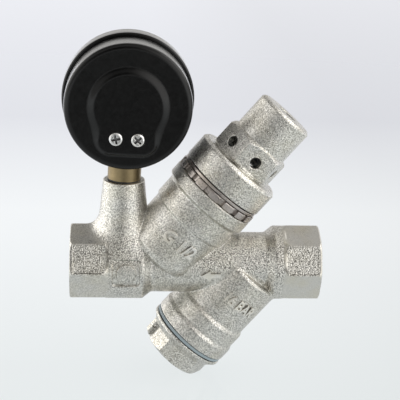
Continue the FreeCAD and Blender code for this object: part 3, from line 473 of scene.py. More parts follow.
def plated(name, colour, rough, grain=None, painted_foot_shade=False):
    """Satin nickel over shot-blasted brass: fine pits and peaks over faint warm stains.

    The grain is one number, or with None the mesh's own "grain" at each point.  Painted
    shade darkens a part where its mesh's "foot" says so, as at raised marks and screw recesses.
    """
    f = Finish(name, colour, rough, 1.0)
    fine = f.noise(0.40, 1.0, 0.5)
    coarse = f.noise(1.5, 2.0, 0.55)
    broad = f.noise(9.0, 3.0, 0.5)
    amount = f.attribute("grain") if grain is None else grain
    dark = tuple(c * 0.30 for c in colour)
    light = tuple(min(0.98, c * 1.45) for c in colour)
    warm = (colour[0], colour[1] * 0.975, colour[2] * 0.90)
    stains_and_shade = f.mixed(f.spread(broad, 0.38, 0.66, 0.0, 1.0), colour, warm)
    # Painted shade: darker where the mesh's "foot" is set, at the foot of raised marks and in
    # screw recesses.
    if painted_foot_shade:
        stains_and_shade = f.mixed(f.attribute("foot"), stains_and_shade, tuple(c * 0.22 for c in colour))
    pits = f.maths("MULTIPLY", f.spread(fine, 0.53, 0.37, 0.0, 1.0), amount)
    peaks = f.maths("MULTIPLY", f.spread(fine, 0.50, 0.61, 0.0, 1.0), amount)
    f.set("Base Color", f.mixed(peaks, f.mixed(pits, stains_and_shade, dark), light))
    f.set("Roughness", f.spread(coarse, 0.3, 0.7, rough - 0.05, rough + 0.07))
    strength = f.spread(amount, 0.0, 1.0, 0.05, 1.0) if grain is None else 0.05 + 0.95 * grain
    waves = f.bump(coarse, 0.10, strength)
    f.set("Normal", f.bump(fine, 0.22, strength, waves))
    return f.material


def turned_metal(name, colour, rough, stain=0.8):
    """Machined metal: faint rings of tool marks and a mottled tone."""
    f = Finish(name, colour, rough, 1.0)
    broad = f.noise(3.0, 3.0, 0.6)
    fine = f.noise(0.25, 2.0, 0.6)
    f.set("Base Color", f.mixed(broad, tuple(c * stain for c in colour), colour))
    f.set("Roughness", f.spread(fine, 0.3, 0.7, rough - 0.06, rough + 0.10))
    f.set("Normal", f.bump(fine, 0.015, 0.5))
    return f.material


def black_enamel(name, specular, coat):
    """Baked black enamel with a slight orange peel and a little dust."""
    black, dusty = (0.003, 0.003, 0.003), (0.008, 0.007, 0.007)
    f = Finish(name, black, 0.20)
    peel = f.noise(1.6, 2.0, 0.5)
    dust = f.noise(0.3, 3.0, 0.7)
    f.set("Base Color", f.mixed(f.spread(dust, 0.62, 0.75, 0.0, 1.0), black, dusty))
    f.set("Roughness", f.spread(peel, 0.3, 0.7, 0.17, 0.25))
    f.set("Normal", f.bump(peel, 0.03, 0.35))
    f.shader.inputs["Specular IOR Level"].default_value = specular
    f.shader.inputs["Coat Weight"].default_value = coat
    f.shader.inputs["Coat Roughness"].default_value = 0.22
    f.shader.inputs["Coat IOR"].default_value = 1.6
    return f.material


def moulded(name, colour, rough):
    """Rubber, fibre or plastic with a fine moulded skin."""
    f = Finish(name, colour, rough)
    skin = f.noise(0.6, 3.0, 0.6)
    darker = tuple(c * 0.8 for c in colour)
    lighter = tuple(min(1.0, c * 1.12) for c in colour)
    f.set("Base Color", f.mixed(skin, darker, lighter))
    f.set("Roughness", f.spread(skin, 0.3, 0.7, rough - 0.08, rough + 0.08))
    f.set("Normal", f.bump(skin, 0.03, 0.4))
    return f.material


def window_glass():
    """Clear pane with a hint of waviness."""
    f = Finish("gauge_glass", (0.96, 0.98, 0.98), 0.04)
    f.shader.inputs["Transmission Weight"].default_value = 1.0
    f.shader.inputs["IOR"].default_value = 1.45
    f.set("Normal", f.bump(f.noise(6.0, 2.0, 0.5), 0.02, 0.1))
    return f.material


NICKEL = (0.65, 0.635, 0.595)
BODY_METAL = plated("nickel_body", NICKEL, 0.31)
PART_METAL = plated("nickel_parts", NICKEL, 0.28, 0.68)
# Screw heads: darkened deep in the cross recess as painted shade.
SCREW_METAL = plated("screw_plated", (0.86, 0.85, 0.84), 0.20, 0.15, True)
# Raised marks: lighter than the body, partly rubbed bright and partly a painted highlight, and
# darkened at their foot as painted shade.
MARK_METAL = plated("nickel_marks", (0.84, 0.82, 0.78), 0.30, 0.20, True)
RING_METAL = plated("nickel_ring", (0.49, 0.45, 0.43), 0.28, 0.18)     # darker, unpolished
STEEL = turned_metal("steel", (0.56, 0.57, 0.58), 0.28)
CHROME = turned_metal("screw_chrome", (0.86, 0.84, 0.80), 0.12, 0.9)
BRASS = turned_metal("brass", (0.50, 0.37, 0.20), 0.34, 0.7)
OLD_BRASS = turned_metal("brass_tarnished", (0.34, 0.262, 0.145), 0.36, 0.55)
ENAMEL = black_enamel("black_enamel", 0.34, 0.0)
GLOSS_ENAMEL = black_enamel("black_enamel_gloss", 1.0, 1.0)
RUBBER = moulded("rubber", (0.02, 0.02, 0.02), 0.55)
GASKET = moulded("gasket", (0.36, 0.43, 0.46), 0.45)
DIAL_WHITE = moulded("dial_white", (0.85, 0.85, 0.83), 0.5)
INK = moulded("dial_ink", (0.015, 0.015, 0.018), 0.5)
GLASS = window_glass()


def finish(ob, material, body, slot, *nodes):
    """Give a piece its material and its body, and hide the CAD nodes it replaces.  The slot is not
    used.
    """
    ob.data.materials.clear()
    ob.data.materials.append(material)
    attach(ob, body)
    if nodes:
        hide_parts(*nodes)
    return ob


# ---------------------------------------------------------------- valve body
def along_upper(x, z):
    """Station and sideways offset about the upper branch's axis."""
    dx = x - BONNET_FOOT
    return dx * UP_DIR.x + z * UP_DIR.z, dx * UP_DIR.z - z * UP_DIR.x


def along_lower(x, z):
    """Station and sideways offset about the lower branch's axis."""
    dx = x - STRAINER_FOOT
    return -(dx * UP_DIR.x + z * UP_DIR.z), dx * UP_DIR.z - z * UP_DIR.x


def pipe_profile():
    """Radius of the neck and its two collars, against X."""
    collar_start = OCTAGON_L + OCTAGON_SLOPE
    left = OUTLET_X + collar_start + OUTLET_COLLAR
    right = INLET_X - collar_start - INLET_COLLAR
    return ((OUTLET_X + OCTAGON_L - 2.0, 10.0), (OUTLET_X + OCTAGON_L + 0.6, COLLAR_R),
            (left, COLLAR_R), (left + COLLAR_SLOPE, NECK_R), (right - COLLAR_SLOPE, NECK_R),
            (right, COLLAR_R), (INLET_X - OCTAGON_L - 0.6, COLLAR_R),
            (INLET_X - OCTAGON_L + 2.0, 10.0))


def octagon_cone():
    """Radius that trims the corners of both octagons, against X."""
    clear = CORNER_R + 0.4
    end = OCTAGON_L + OCTAGON_SLOPE
    points = [(0.0, CORNER_R - MOUTH_CHAMFER), (MOUTH_CHAMFER * 1.5, clear),
              (OCTAGON_L - 0.9, clear), (end, COLLAR_R - 0.15), (end + 0.4, 0.0)]
    left = [(OUTLET_X + s, r) for s, r in points]
    right = [(INLET_X - s, r) for s, r in reversed(points)]
    return left + right


PIPE_R = soft_profile(pipe_profile(), 0.35)
CONE_R = soft_profile(octagon_cone(), 0.12)
UPPER_R = soft_profile(UPPER_PROFILE, 0.22)
LOWER_R = soft_profile(LOWER_PROFILE, 0.22)
BOSS_R = soft_profile(BOSS_PROFILE, 1.2)


def outer_skin(x, y, z):
    """Neck, octagons, gauge boss and both branches, blended into one casting."""
    about_pipe = np.hypot(y, z)
    pipe = blend_max(about_pipe - PIPE_R(x), slab(x, OUTLET_X + 5.0, INLET_X - 5.0), 0.5)
    octagon = flats(y, z, FLATS, 8, math.pi / 8)
    octagon = blend_max(octagon, about_pipe - CONE_R(x), 0.3)
    octagon = blend_max(octagon, slab(x, OUTLET_X, INLET_X), 0.3)
    body = blend_min(pipe, octagon, 0.25)
    boss = blend_max(np.hypot(x - GAUGE_X, y) - BOSS_R(z), slab(z, 0.0, BOSS_TOP), 0.5)
    body = blend_min(body, boss, 4.0)
    s, t = along_upper(x, z)
    ends = slab(s, UPPER_PROFILE[0][0], UPPER_PROFILE[-1][0])
    upper = blend_max(np.hypot(t, y) - UPPER_R(s), ends, 0.5)
    body = blend_min(body, upper, 0.4)
    s, t = along_lower(x, z)
    ends = slab(s, LOWER_PROFILE[0][0], LOWER_PROFILE[-1][0])
    lower = blend_max(np.hypot(t, y) - LOWER_R(s), ends, 0.5)
    return blend_min(body, lower, 0.8)


def inner_space(x, y, z):
    """Ports, water ways and the two threaded branch bores."""
    about_pipe = np.hypot(y, z)
    from_mouth = np.minimum(x - OUTLET_X, INLET_X - x)
    space = np.maximum(about_pipe - PORT_R, slab(from_mouth, -2.0, PORT_DEPTH))
    outlet_way = slab(x, OUTLET_X + 1.0, OUTLET_X + PORT_DEPTH + 2.5)
    inlet_way = slab(x, STRAINER_FOOT - 2.0, INLET_X - 1.0)
    space = np.minimum(space, np.maximum(about_pipe - FLOW_R, np.minimum(outlet_way, inlet_way)))
    s, t = along_upper(x, z)
    r = np.hypot(t, y)
    space = np.minimum(space, np.maximum(r - CYLINDER_R, slab(s, CYLINDER_FOOT, BORE_END)))
    space = np.minimum(space, np.maximum(r - BONNET_BORE_R, slab(s, BONNET_BORE_FOOT, BORE_END)))
    s, t = along_lower(x, z)
    r = np.hypot(t, y)
    space = np.minimum(space, np.maximum(r - BRANCH_WAY_R, slab(s, -4.8, CHAMBER_FOOT + 2.0)))
    space = np.minimum(space, np.maximum(r - CHAMBER_R, slab(s, CHAMBER_FOOT, BORE_END)))
    return np.minimum(space, np.maximum(r - CAP_BORE_R, slab(s, CAP_BORE_FOOT, BORE_END)))


def blank_pad(x, y, z):
    """Sunk panel with a raised blank disc, on the front of the outlet collar."""
    around = np.arctan2(z, -y) * COLLAR_R
    radius = np.hypot(y, z)
    front = y + 2.0
    panel = rounded_box(x - PAD_X, around, *PAD_HALF, 1.2)
    sunk = np.maximum(np.maximum(panel, COLLAR_R - PAD_DEPTH - radius), front)
    disc = np.maximum(np.hypot(x - PAD_X, around) - PAD_DISC_R, radius - COLLAR_R + 0.1)
    return blend_max(sunk, -np.maximum(disc, front), 0.3)


def rough_panels(x, y, z):
    """Facets left as cast on the front and back of both octagons, a little sunk."""
    tilt = math.pi / 8
    middle = np.abs(x - MID_X) - (INLET_X - MID_X - PANEL_IN - PANEL_HALF[0])
    low = None
    for side in (-1, 1):
        out = side * y * math.cos(tilt) - side * z * math.sin(tilt)
        along = side * y * math.sin(tilt) + side * z * math.cos(tilt)
        cut = np.maximum(rounded_box(middle, along, *PANEL_HALF, 0.6),
                         FLATS / 2 - PANEL_DEPTH - out)
        low = cut if low is None else np.minimum(low, cut)
    return low


def body_field(x, y, z):
    """The whole casting, with its panels, its pad and its bores cut."""
    body = outer_skin(x, y, z)
    body = blend_max(body, -rough_panels(x, y, z), 0.12)
    body = blend_max(body, -blank_pad(x, y, z), 0.3)
    return blend_max(body, -inner_space(x, y, z), 0.3)


def smooth_step(value, low, high):
    """0 below low, 1 above high, with a smooth rise between."""
    t = np.clip((value - low) / (high - low), 0.0, 1.0)
    return t * t * (3 - 2 * t)


def window(value, low, high, edge):
    """1 between low and high, fading to 0 over edge on each side."""
    rise = smooth_step(value, low - edge, low + edge)
    return rise * (1 - smooth_step(value, high - edge, high + edge))


def casting_grain(x, y, z):
    """Coarseness of the shot-blasted skin, from 0 to 1: the flats were polished after.

    Arcs are in degrees above the pipe's middle, from the front and again from the back.
    """
    cast, outlet_flats, inlet_flats = 0.70, 0.30, 0.10
    around = np.degrees(np.arctan2(z, -y))
    opposite = np.degrees(np.arctan2(-z, y))
    from_middle = np.abs(x - MID_X)
    grain = np.full(len(x), cast)
    s, t = along_upper(x, z)
    on_upper = (np.abs(np.hypot(t, y) - UPPER_R(s)) < 0.4) & (s > 5.0)
    s, t = along_lower(x, z)
    on_lower = (np.abs(np.hypot(t, y) - LOWER_R(s)) < 0.4) & (s > 5.0)
    on_pipe = ~(on_upper | on_lower) & (np.hypot(y, z) > NECK_R - 0.5) & (np.abs(z) < 15.5)
    octagon = on_pipe & (from_middle > 33.0)
    octagon &= np.abs(flats(y, z, FLATS, 8, math.pi / 8)) < PANEL_DEPTH + 0.15
    grain = np.where(octagon, np.where(x < MID_X, outlet_flats, inlet_flats), grain)
    for angle in (around, opposite):
        facet = octagon * window(angle, 0.6, 44.4, 0.8)
        grain = np.maximum(grain, facet * window(from_middle, 34.0, 46.6, 0.5))
        flank = on_pipe & ~octagon & (x < MID_X)
        grain = np.maximum(grain, 0.9 * flank * window(angle, 12.0, 60.0, 8.0))
        neck = on_pipe & ~octagon & (x > MID_X)
        grain = np.maximum(grain, neck * window(angle, -4.0, 52.0, 7.0))
    return np.clip(grain, 0, 1)


def make_body():
    low, high = (OUTLET_X - 1.0, -18.6, -41.0), (INLET_X + 1.0, 18.6, 42.0)
    step = 0.46
    casting = field_mesh("body_casting", body_field, low, high, step)
    places = np.empty(len(casting.data.vertices) * 3)
    casting.data.vertices.foreach_get("co", places)
    grain = casting_grain(*(places.reshape(-1, 3).T / MM))
    point_values(casting.data, "grain", grain.astype(np.float32))
    finish(casting, BODY_METAL, "valve", "plated_brass", "valve_body")


def port_thread(name, mouth, inward):
    """Helical ridge of the G1/2 thread inside a port, fading out at both ends."""
    per_turn, fade_steps = 72, 40.0
    root = PORT_R + 0.05
    points, faces = [], []
    count = int(THREAD_TURNS * per_turn)
    for k in range(count + 1):
        a = 2 * math.pi * k / per_turn
        s = THREAD_START + THREAD_PITCH * k / per_turn
        fade = min(1.0, k / fade_steps, (count - k) / fade_steps)
        top = root + (THREAD_CREST_R - root) * fade
        for ds, r in ((-0.80, root), (-0.14, top), (0.14, top), (0.80, root)):
            x = mouth + inward * (s + ds * max(fade, 0.2))
            points.append((x, r * math.cos(a), r * math.sin(a)))
    for k in range(count):
        i, j = 4 * k, 4 * (k + 1)
        faces += [(i + n, i + (n + 1) % 4, j + (n + 1) % 4, j + n) for n in range(4)]
    faces += [(3, 2, 1, 0), tuple(4 * count + n for n in range(4))]
    finish(plain_mesh(name, points, faces), PART_METAL, "valve", "plated_brass")


# ---------------------------------------------------------------- raised marks
def wrapped(name, outline, to_skin, thick):
    """Flat outline thickened, cut finely and laid on a curved skin, its foot marked."""
    cell = 0.5
    bm = bmesh.new()
    bm.from_mesh(outline)
    bmesh.ops.triangulate(bm, faces=bm.faces)
    xs = [v.co.x for v in bm.verts]
    ys = [v.co.y for v in bm.verts]
    for axis, values in (((1, 0, 0), xs), ((0, 1, 0), ys)):
        cut = min(values) + cell
        while cut < max(values):
            everything = bm.verts[:] + bm.edges[:] + bm.faces[:]
            bmesh.ops.bisect_plane(bm, geom=everything, plane_co=Vector(axis) * cut, plane_no=axis)
            cut += cell
    bmesh.ops.triangulate(bm, faces=bm.faces)
    # The foot of the relief is set to 1; the material darkens it as painted shade.
    foot = []
    for v in bm.verts:
        foot.append(1.0 if v.co.z < 0.6 else 0.0)
        v.co = to_skin(v.co.x, v.co.y, v.co.z * thick) * MM
    bmesh.ops.recalc_face_normals(bm, faces=bm.faces)
    mesh = bpy.data.meshes.new(name)
    bm.to_mesh(mesh)
    bm.free()
    point_values(mesh, "foot", foot)
    return add_object(name, mesh)


def letter_outline(text, size, width):
    """Bold letters as a closed solid from z = -1 to z = 1, centred, in millimetres."""
    curve = bpy.data.curves.new("letters", "FONT")
    curve.body = text
    curve.size = size
    curve.align_x = "CENTER"
    curve.align_y = "CENTER"
    curve.offset = 0.04
    curve.extrude = 0.7
    curve.bevel_depth = 0.15
    curve.bevel_resolution = 1
    holder = add_object("letters", curve)
    bpy.context.view_layer.update()
    ready = holder.evaluated_get(bpy.context.evaluated_depsgraph_get())
    mesh = bpy.data.meshes.new_from_object(ready)
    xs = [v.co.x for v in mesh.vertices]
    mesh.transform(Matrix.Diagonal((width / (max(xs) - min(xs)), 1, 1, 1)))
    bpy.data.objects.remove(holder)
    return mesh


def arrow_outline(length, height):
    """Flow arrow pointing to -X, as a closed solid from z = -1 to z = 1."""
    head = length * 0.48
    shaft = height * 0.2
    half = length / 2
    points = [(-half, 0), (-half + head, -height / 2), (-half + head, -shaft), (half, -shaft),
              (half, shaft), (-half + head, shaft), (-half + head, height / 2)]
    bm = bmesh.new()
    flat = bm.faces.new([bm.verts.new((x, y, -1)) for x, y in points])
    grown = bmesh.ops.extrude_face_region(bm, geom=[flat])["geom"]
    for v in grown:
        if isinstance(v, bmesh.types.BMVert):
            v.co.z = 1
            v.co.x *= 0.96
            v.co.y *= 0.9
    mesh = bpy.data.meshes.new("arrow")
    bm.to_mesh(mesh)
    bm.free()
    return mesh


def on_branch(at, radius, station, angle, upward):
    """Skin of a branch: u runs round it, v along it, w outward."""
    def place(u, v, w):
        a = angle + u / radius * upward
        r = radius + w
        return at @ Vector((r * math.cos(a), r * math.sin(a), station + v * upward))
    return place


def on_neck(x, angle):
    """Skin of the neck: u runs along the pipe, v round it, w outward."""
    def place(u, v, w):
        a = angle + v / NECK_R
        r = NECK_R + w
        return Vector((x + u, -r * math.cos(a), r * math.sin(a)))
    return place


def make_marks():
    upper = wrapped("mark_thread_size", letter_outline("G 1/2", 6.8, 14.4),
                    on_branch(UPPER, 15.4, 15.8, 0.0, 1), MARK_H)
    lower = wrapped("mark_pressure", letter_outline("16 BAR", 5.9, 13.6),
                    on_branch(LOWER, 14.5, 14.5, math.radians(-10.0), -1), MARK_H)
    arrow = wrapped("flow_arrow", arrow_outline(7.6, 4.4), on_neck(MID_X + 5.6, -0.10), MARK_H)
    for ob in (upper, lower, arrow):
        finish(ob, MARK_METAL, "valve", "plated_brass")


# ---------------------------------------------------------------- bonnet
DRUM_R = soft_profile(((SKIRT_FOOT, SKIRT_R), (41.45, SKIRT_R), (41.55, BONNET_R),
                       (50.6, BONNET_R), (HEX_BOTTOM, 16.2), (52.2, 16.2)), 0.10)
KNOB_SIDE_R = soft_profile(((50.0, KNOB_R), (76.3, KNOB_R), (KNOB_TOP, KNOB_R - 1.0),
                            (78.0, 9.5)), 0.15)


def bonnet_field(a, b, s):
    """Drum, ledge, hexagon and top cylinder, hollow inside, with a vent in each flat."""
    r = np.hypot(a, b)
    drum = blend_max(r - DRUM_R(s), slab(s, SKIRT_FOOT, HEX_BOTTOM), 0.3)
    ledge = blend_max(r - LEDGE_R, slab(s, 50.0, HEX_BOTTOM + LEDGE_H), 0.3)
    hexagon = flats(a, b, HEX_FLATS, 6, HEX_TURN)
    corner = HEX_FLATS / math.sqrt(3)
    cone = r - (corner + 0.2 - np.maximum(s - (HEX_TOP - 1.5), 0) * 1.45)
    low_cone = r - (corner - 0.5 + np.maximum(s - HEX_BOTTOM - LEDGE_H, 0) * 1.2)
    hexagon = blend_max(blend_max(hexagon, cone, 0.12), low_cone, 0.2)
    hexagon = blend_max(hexagon, slab(s, HEX_BOTTOM + LEDGE_H - 0.3, HEX_TOP), 0.25)
    knob = blend_max(r - KNOB_SIDE_R(s), slab(s, 50.0, KNOB_TOP), 0.4)
    solid = blend_min(blend_min(drum, ledge, 0.3), blend_min(hexagon, knob, 0.35), 0.3)
    well = np.maximum(r - WELL_R, slab(s, SKIRT_FOOT - 1.2, WELL_TOP))
    skirt = np.maximum(r - SKIRT_BORE_R, slab(s, SKIRT_FOOT - 1.2, SKIRT_BORE_TOP))
    hole = np.maximum(r - SCREW_HOLE_R, slab(s, 72.0, 80.0))
    solid = blend_max(solid, -np.minimum(np.minimum(well, skirt), hole), 0.3)
    up = s - (HEX_BOTTOM + VENT_UP)
    for k in range(3):
        t = HEX_TURN + math.pi * k / 3
        across = -a * math.sin(t) + b * math.cos(t)
        vent = np.hypot(across, up) - VENT_R
        solid = blend_max(solid, -vent, 0.25)
    return solid


def ring_field(a, b, s):
    """Lock ring with slots cut round its edge."""
    r = np.hypot(a, b)
    ring = slab(s, RING_BOTTOM + GAP, RING_BOTTOM + RING_H - GAP)
    ring = blend_max(np.maximum(r - RING_R, RING_BORE - r), ring, 0.35)
    pitch = 2 * math.pi / SLOTS
    around = np.arctan2(b, a)
    near = (around + pitch / 2) % pitch - pitch / 2
    slot = np.maximum(np.abs(near) * r - SLOT_W / 2, RING_R - SLOT_DEPTH - r)
    return blend_max(ring, -slot, 0.3)


def make_bonnet():
    step = 0.42
    low, high = (-18.2, -18.2, 26.4), (18.2, 18.2, 78.2)
    bonnet = field_mesh("bonnet_shell", bonnet_field, low, high, step, UPPER)
    finish(bonnet, PART_METAL, "valve", "plated_brass", "bonnet")
    low, high = (-18, -18, 36.5), (18, 18, 40.6)
    ring = field_mesh("lock_ring_slotted", ring_field, low, high, 0.3, UPPER)
    finish(ring, RING_METAL, "valve", "plated_ring", "lock_ring")
    low, top = BAND_BOTTOM + GAP, BAND_BOTTOM + BAND_H - GAP
    band = turned_mesh("lock_band_turned", ((low, RING_BORE), (low, BAND_R),
                                            (top, BAND_R), (top, RING_BORE)), UPPER, 0.22)
    finish(band, RING_METAL, "valve", "plated_ring", "lock_band")


# ---------------------------------------------------------------- strainer cap
CAP_SIDE_R = soft_profile(((CAP_FOOT, CAP_PLUG_R), (CAP_SEAT - 0.1, CAP_PLUG_R),
                           (CAP_SEAT, CAP_FLANGE_R), (40.5, CAP_FLANGE_R),
                           (CAP_HEX, 14.3), (44.0, 13.0)), 0.12)


def cap_field(a, b, s):
    """Plug, flange and hexagon, with a tab for the seal wire in place of one corner."""
    r = np.hypot(a, b)
    flange = blend_max(r - CAP_SIDE_R(s), slab(s, CAP_FOOT, 43.0), 0.35)
    hexagon = flats(a, b, CAP_FLATS, 6, CAP_TURN)
    corner = CAP_FLATS / math.sqrt(3)
    cone = r - (corner + 0.15 - np.maximum(s - (CAP_END - 1.6), 0) * 1.5)
    hexagon = blend_max(blend_max(hexagon, cone, 0.25), slab(s, 41.0, CAP_END), 0.3)
    side = np.maximum(TAB_IN - b, slab(s, CAP_HEX - 0.2, CAP_END + 1.0))
    trimmed = np.maximum(TAB_FRONT - np.abs(a), side)
    hexagon = blend_max(hexagon, -trimmed, 0.2)
    solid = blend_min(flange, hexagon, 0.3)
    socket = np.maximum(r - CAP_SOCKET_R, slab(s, 29.0, CAP_SOCKET_END))
    hole = np.hypot(b - TAB_IN - 0.85, s - (CAP_HEX + CAP_END) / 2 + 0.6) - WIRE_HOLE_R
    flare = np.maximum(hole - WIRE_HOLE_FLARE, TAB_FRONT - WIRE_HOLE_FLARE - a)
    hole = np.maximum(np.minimum(hole, flare), 10.0 - b)
    return blend_max(solid, -np.minimum(socket, hole), 0.2)


def make_cap():
    step = 0.33
    low, high = (-17, -17, 30.0), (17, 17, 50.6)
    cap = field_mesh("strainer_cap_forged", cap_field, low, high, step, LOWER)
    finish(cap, PART_METAL, "strainer_cap", "plated_brass", "strainer_cap")
    low, top = GASKET_BOTTOM + GAP, GASKET_TOP - GAP
    gasket = turned_mesh("cap_gasket_soft", ((low, GASKET_BORE), (low, GASKET_R),
                                             (top, GASKET_R), (top, GASKET_BORE)), LOWER, 0.25)
    finish(gasket, GASKET, "screen", "gasket", "cap_gasket")


# ---------------------------------------------------------------- gauge
def keyhole(x, y):
    """Signed distance in the plane of the raised pad: a disc with a flared foot."""
    disc = np.hypot(x, y) - 15.2
    foot = rounded_box(x, y + 11.6, 11.9, 6.7, 6.2)
    return blend_min(disc, foot, 4.5)


def case_field(x, y, z):
    """Cup of the case with its raised pad; z runs toward its back."""
    r = np.hypot(x, y)
    slope = PAD_SLOPE_W - (PAD_SLOPE_W - PAD_FOOT_SLOPE_W) * smooth_step(-y, 8.0, 15.0)
    rise = PAD_H * smooth_step(-keyhole(x, y) / slope, 0.0, 1.0)
    back = z - CASE_BACK - rise
    solid = blend_max(r - CASE_R, back, CASE_EDGE)
    solid = np.maximum(solid, CASE_FRONT - z)
    hollow = np.maximum(r - CASE_R + CASE_WALL, z - CASE_BACK + CASE_WALL)
    stem = np.maximum(np.hypot(x, z) - STEM_NOTCH_R, y + 18.0)
    return blend_max(blend_max(solid, -hollow, 0.3), -stem, 0.2)


def screw_blank(x, y, z):
    """Domed head and shank, before the recess is cut."""
    r = np.hypot(x, y)
    head = blend_max(r - SCREW_HEAD_R, slab(z, -3.0, SCREW_HEAD_H), 0.9)
    head = np.maximum(head, slab(z, 0.0, SCREW_HEAD_H))
    shank = np.maximum(r - SCREW_SHANK_R, slab(z, -5.0, SCREW_HEAD_H / 2))
    return blend_min(head, shank, 0.2)


def screw_field(x, y, z):
    """Pan head with a cross recess; z runs outward from the pad."""
    depth = SCREW_HEAD_H - z
    half_w = 0.44 - 0.10 * depth
    reach = 1.75 - 0.6 * depth
    cross = np.minimum(np.maximum(np.abs(x) - half_w, np.abs(y) - reach),
                       np.maximum(np.abs(y) - half_w, np.abs(x) - reach))
    cross = np.maximum(cross, 0.25 - z)
    return blend_max(screw_blank(x, y, z), -cross, 0.12)


def gloss_sides(ob):
    """The rolled sides are glossier than the flat pressed faces."""
    ob.data.materials.append(GLOSS_ENAMEL)
    axis = DIAL.col[2].to_3d()
    for face in ob.data.polygons:
        face.material_index = int(abs(face.normal.dot(axis)) < 0.35)


def make_gauge_case():
    step = 0.4
    low, high = (-24.3, -24.3, -14.0), (24.3, 24.3, 10.8)
    case = field_mesh("gauge_case_pressed", case_field, low, high, step, DIAL)
    finish(case, ENAMEL, "valve", "black_paint", "gauge_case")
    gloss_sides(case)
    bezel = turned_mesh("gauge_bezel_rolled", (
        (BEZEL_BACK, 23.5), (BEZEL_BACK, 24.3), (BEZEL_BACK - 0.5, 24.75),
        (BEZEL_BACK - 1.2, BEZEL_R),
        (BEZEL_FRONT + 1.9, BEZEL_R), (BEZEL_FRONT + 0.7, 24.5), (BEZEL_FRONT + 0.1, 23.7),
        (BEZEL_FRONT, 22.8), (BEZEL_FRONT + 0.2, BEZEL_LIP_R), (BEZEL_FRONT + 1.2, BEZEL_LIP_R),
        (BEZEL_FRONT + 1.2, 23.5)), DIAL, 0.12, 160)
    finish(bezel, ENAMEL, "valve", "black_paint", "gauge_bezel")
    gloss_sides(bezel)
    low, high = (-2.8, -2.8, -5.3), (2.8, 2.8, 1.5)
    for side, turn in ((-1, 0.25), (1, 0.75)):
        at = DIAL @ Matrix.Translation((side * SCREW_X, -SCREW_DROP, CASE_BACK + PAD_H))
        at = at @ Matrix.Rotation(turn, 4, "Z")
        name = "left" if side < 0 else "right"
        screw = field_mesh("pan_screw_" + name, screw_field, low, high, 0.13, at)
        own = at.inverted()
        # Points deep in the cross recess, which the material darkens as painted shade.
        deep = [float(screw_blank(*(own @ (v.co / MM))) < -0.12) for v in screw.data.vertices]
        point_values(screw.data, "foot", deep)
        finish(screw, SCREW_METAL, "valve", "screw_chrome", "case_screw_" + name)


def make_dial_print():
    """Scale of the gauge: a tick every fifth of a bar, a number every second bar."""
    ticks_per_bar = 5
    count = DIAL_TOP_BAR * ticks_per_bar
    points, faces = [], []
    for k in range(count + 1):
        angle = math.radians(-(DIAL_ZERO + DIAL_SWEEP * k / count) + 180.0)
        width, inner = (0.14, 17.4) if k % ticks_per_bar else (0.30, 15.6)
        along = Vector((math.cos(angle), math.sin(angle), 0))
        across = Vector((-along.y, along.x, 0)) * width
        for up in (DIAL_FACE, DIAL_FACE - 0.05):
            for r, side in ((inner, -1), (TICK_OUTER_R, -1), (TICK_OUTER_R, 1), (inner, 1)):
                points.append(along * r + across * side + Vector((0, 0, up)))
        i = len(points) - 8
        faces += [(i, i + 1, i + 2, i + 3), (i + 7, i + 6, i + 5, i + 4)]
        faces += [(i + n, i + 4 + n, i + 4 + (n + 1) % 4, i + (n + 1) % 4) for n in range(4)]
    ticks = plain_mesh("dial_scale", points, faces, DIAL, smooth=False)
    finish(ticks, INK, "valve", "black_paint")
    turn_over = DIAL @ Matrix.Rotation(math.pi, 4, "Y")
    for bar in range(0, DIAL_TOP_BAR + 1, 2):
        angle = math.radians(DIAL_ZERO + DIAL_SWEEP * bar / DIAL_TOP_BAR)
        place = Matrix.Translation((NUMBER_R * math.cos(angle), NUMBER_R * math.sin(angle),
                                    -DIAL_FACE + 0.03))
        outline = letter_outline(str(bar), 3.6, 4.2 if bar > 9 else 2.0)
        number = wrapped("dial_number_%d" % bar, outline,
                         lambda u, v, w, m=turn_over @ place: m @ Vector((u, v, w)), 0.03)
        finish(number, INK, "valve", "black_paint")


# ---------------------------------------------------------------- finishes of the CAD nodes
NODE_FINISH = {
    STEEL: ("adjusting_screw", "upper_spring_plate", "main_spring", "valve_stem", "piston_nut",
            "disc_nut", "strainer_screen", "movement_back_plate", "movement_front_plate",
            "pillar_upper", "pillar_lower", "case_spacer", "sector_gear", "tip_link",
            "hairspring", "pointer_arbor"),
    BRASS: ("piston", "seat_insert", "disc_holder", "bourdon_tube"),
    OLD_BRASS: ("gauge_stem",),
    RUBBER: ("piston_o_ring", "seat_o_ring", "valve_disc", "stem_seal", "window_gasket"),
    DIAL_WHITE: ("gauge_dial",),
    GLASS: ("gauge_window",),
    INK: ("gauge_pointer",),
    PART_METAL: ("valve_body", "bonnet", "strainer_cap"),
    RING_METAL: ("lock_ring", "lock_band"),
    GASKET: ("cap_gasket",),
    CHROME: ("case_screw_left", "case_screw_right"),
    ENAMEL: ("gauge_case", "gauge_bezel"),
}


def finish_nodes():
    """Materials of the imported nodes, the replaced ones among them."""
    for material, names in NODE_FINISH.items():
        for name in names:
            NODES[name].data.materials.clear()
            NODES[name].data.materials.append(material)


# ---------------------------------------------------------------- studio
CAMERA_AT = (-0.07805, -0.40370, 0.15536)
CAMERA_AZIMUTH = math.radians(4.52)
CAMERA_DROP = math.radians(17.85)
CAMERA_ROLL = math.radians(2.04)
CAMERA_LENS = 100.893
FLOOR_HALF = 3.0
BASE_LIGHT = 0.62
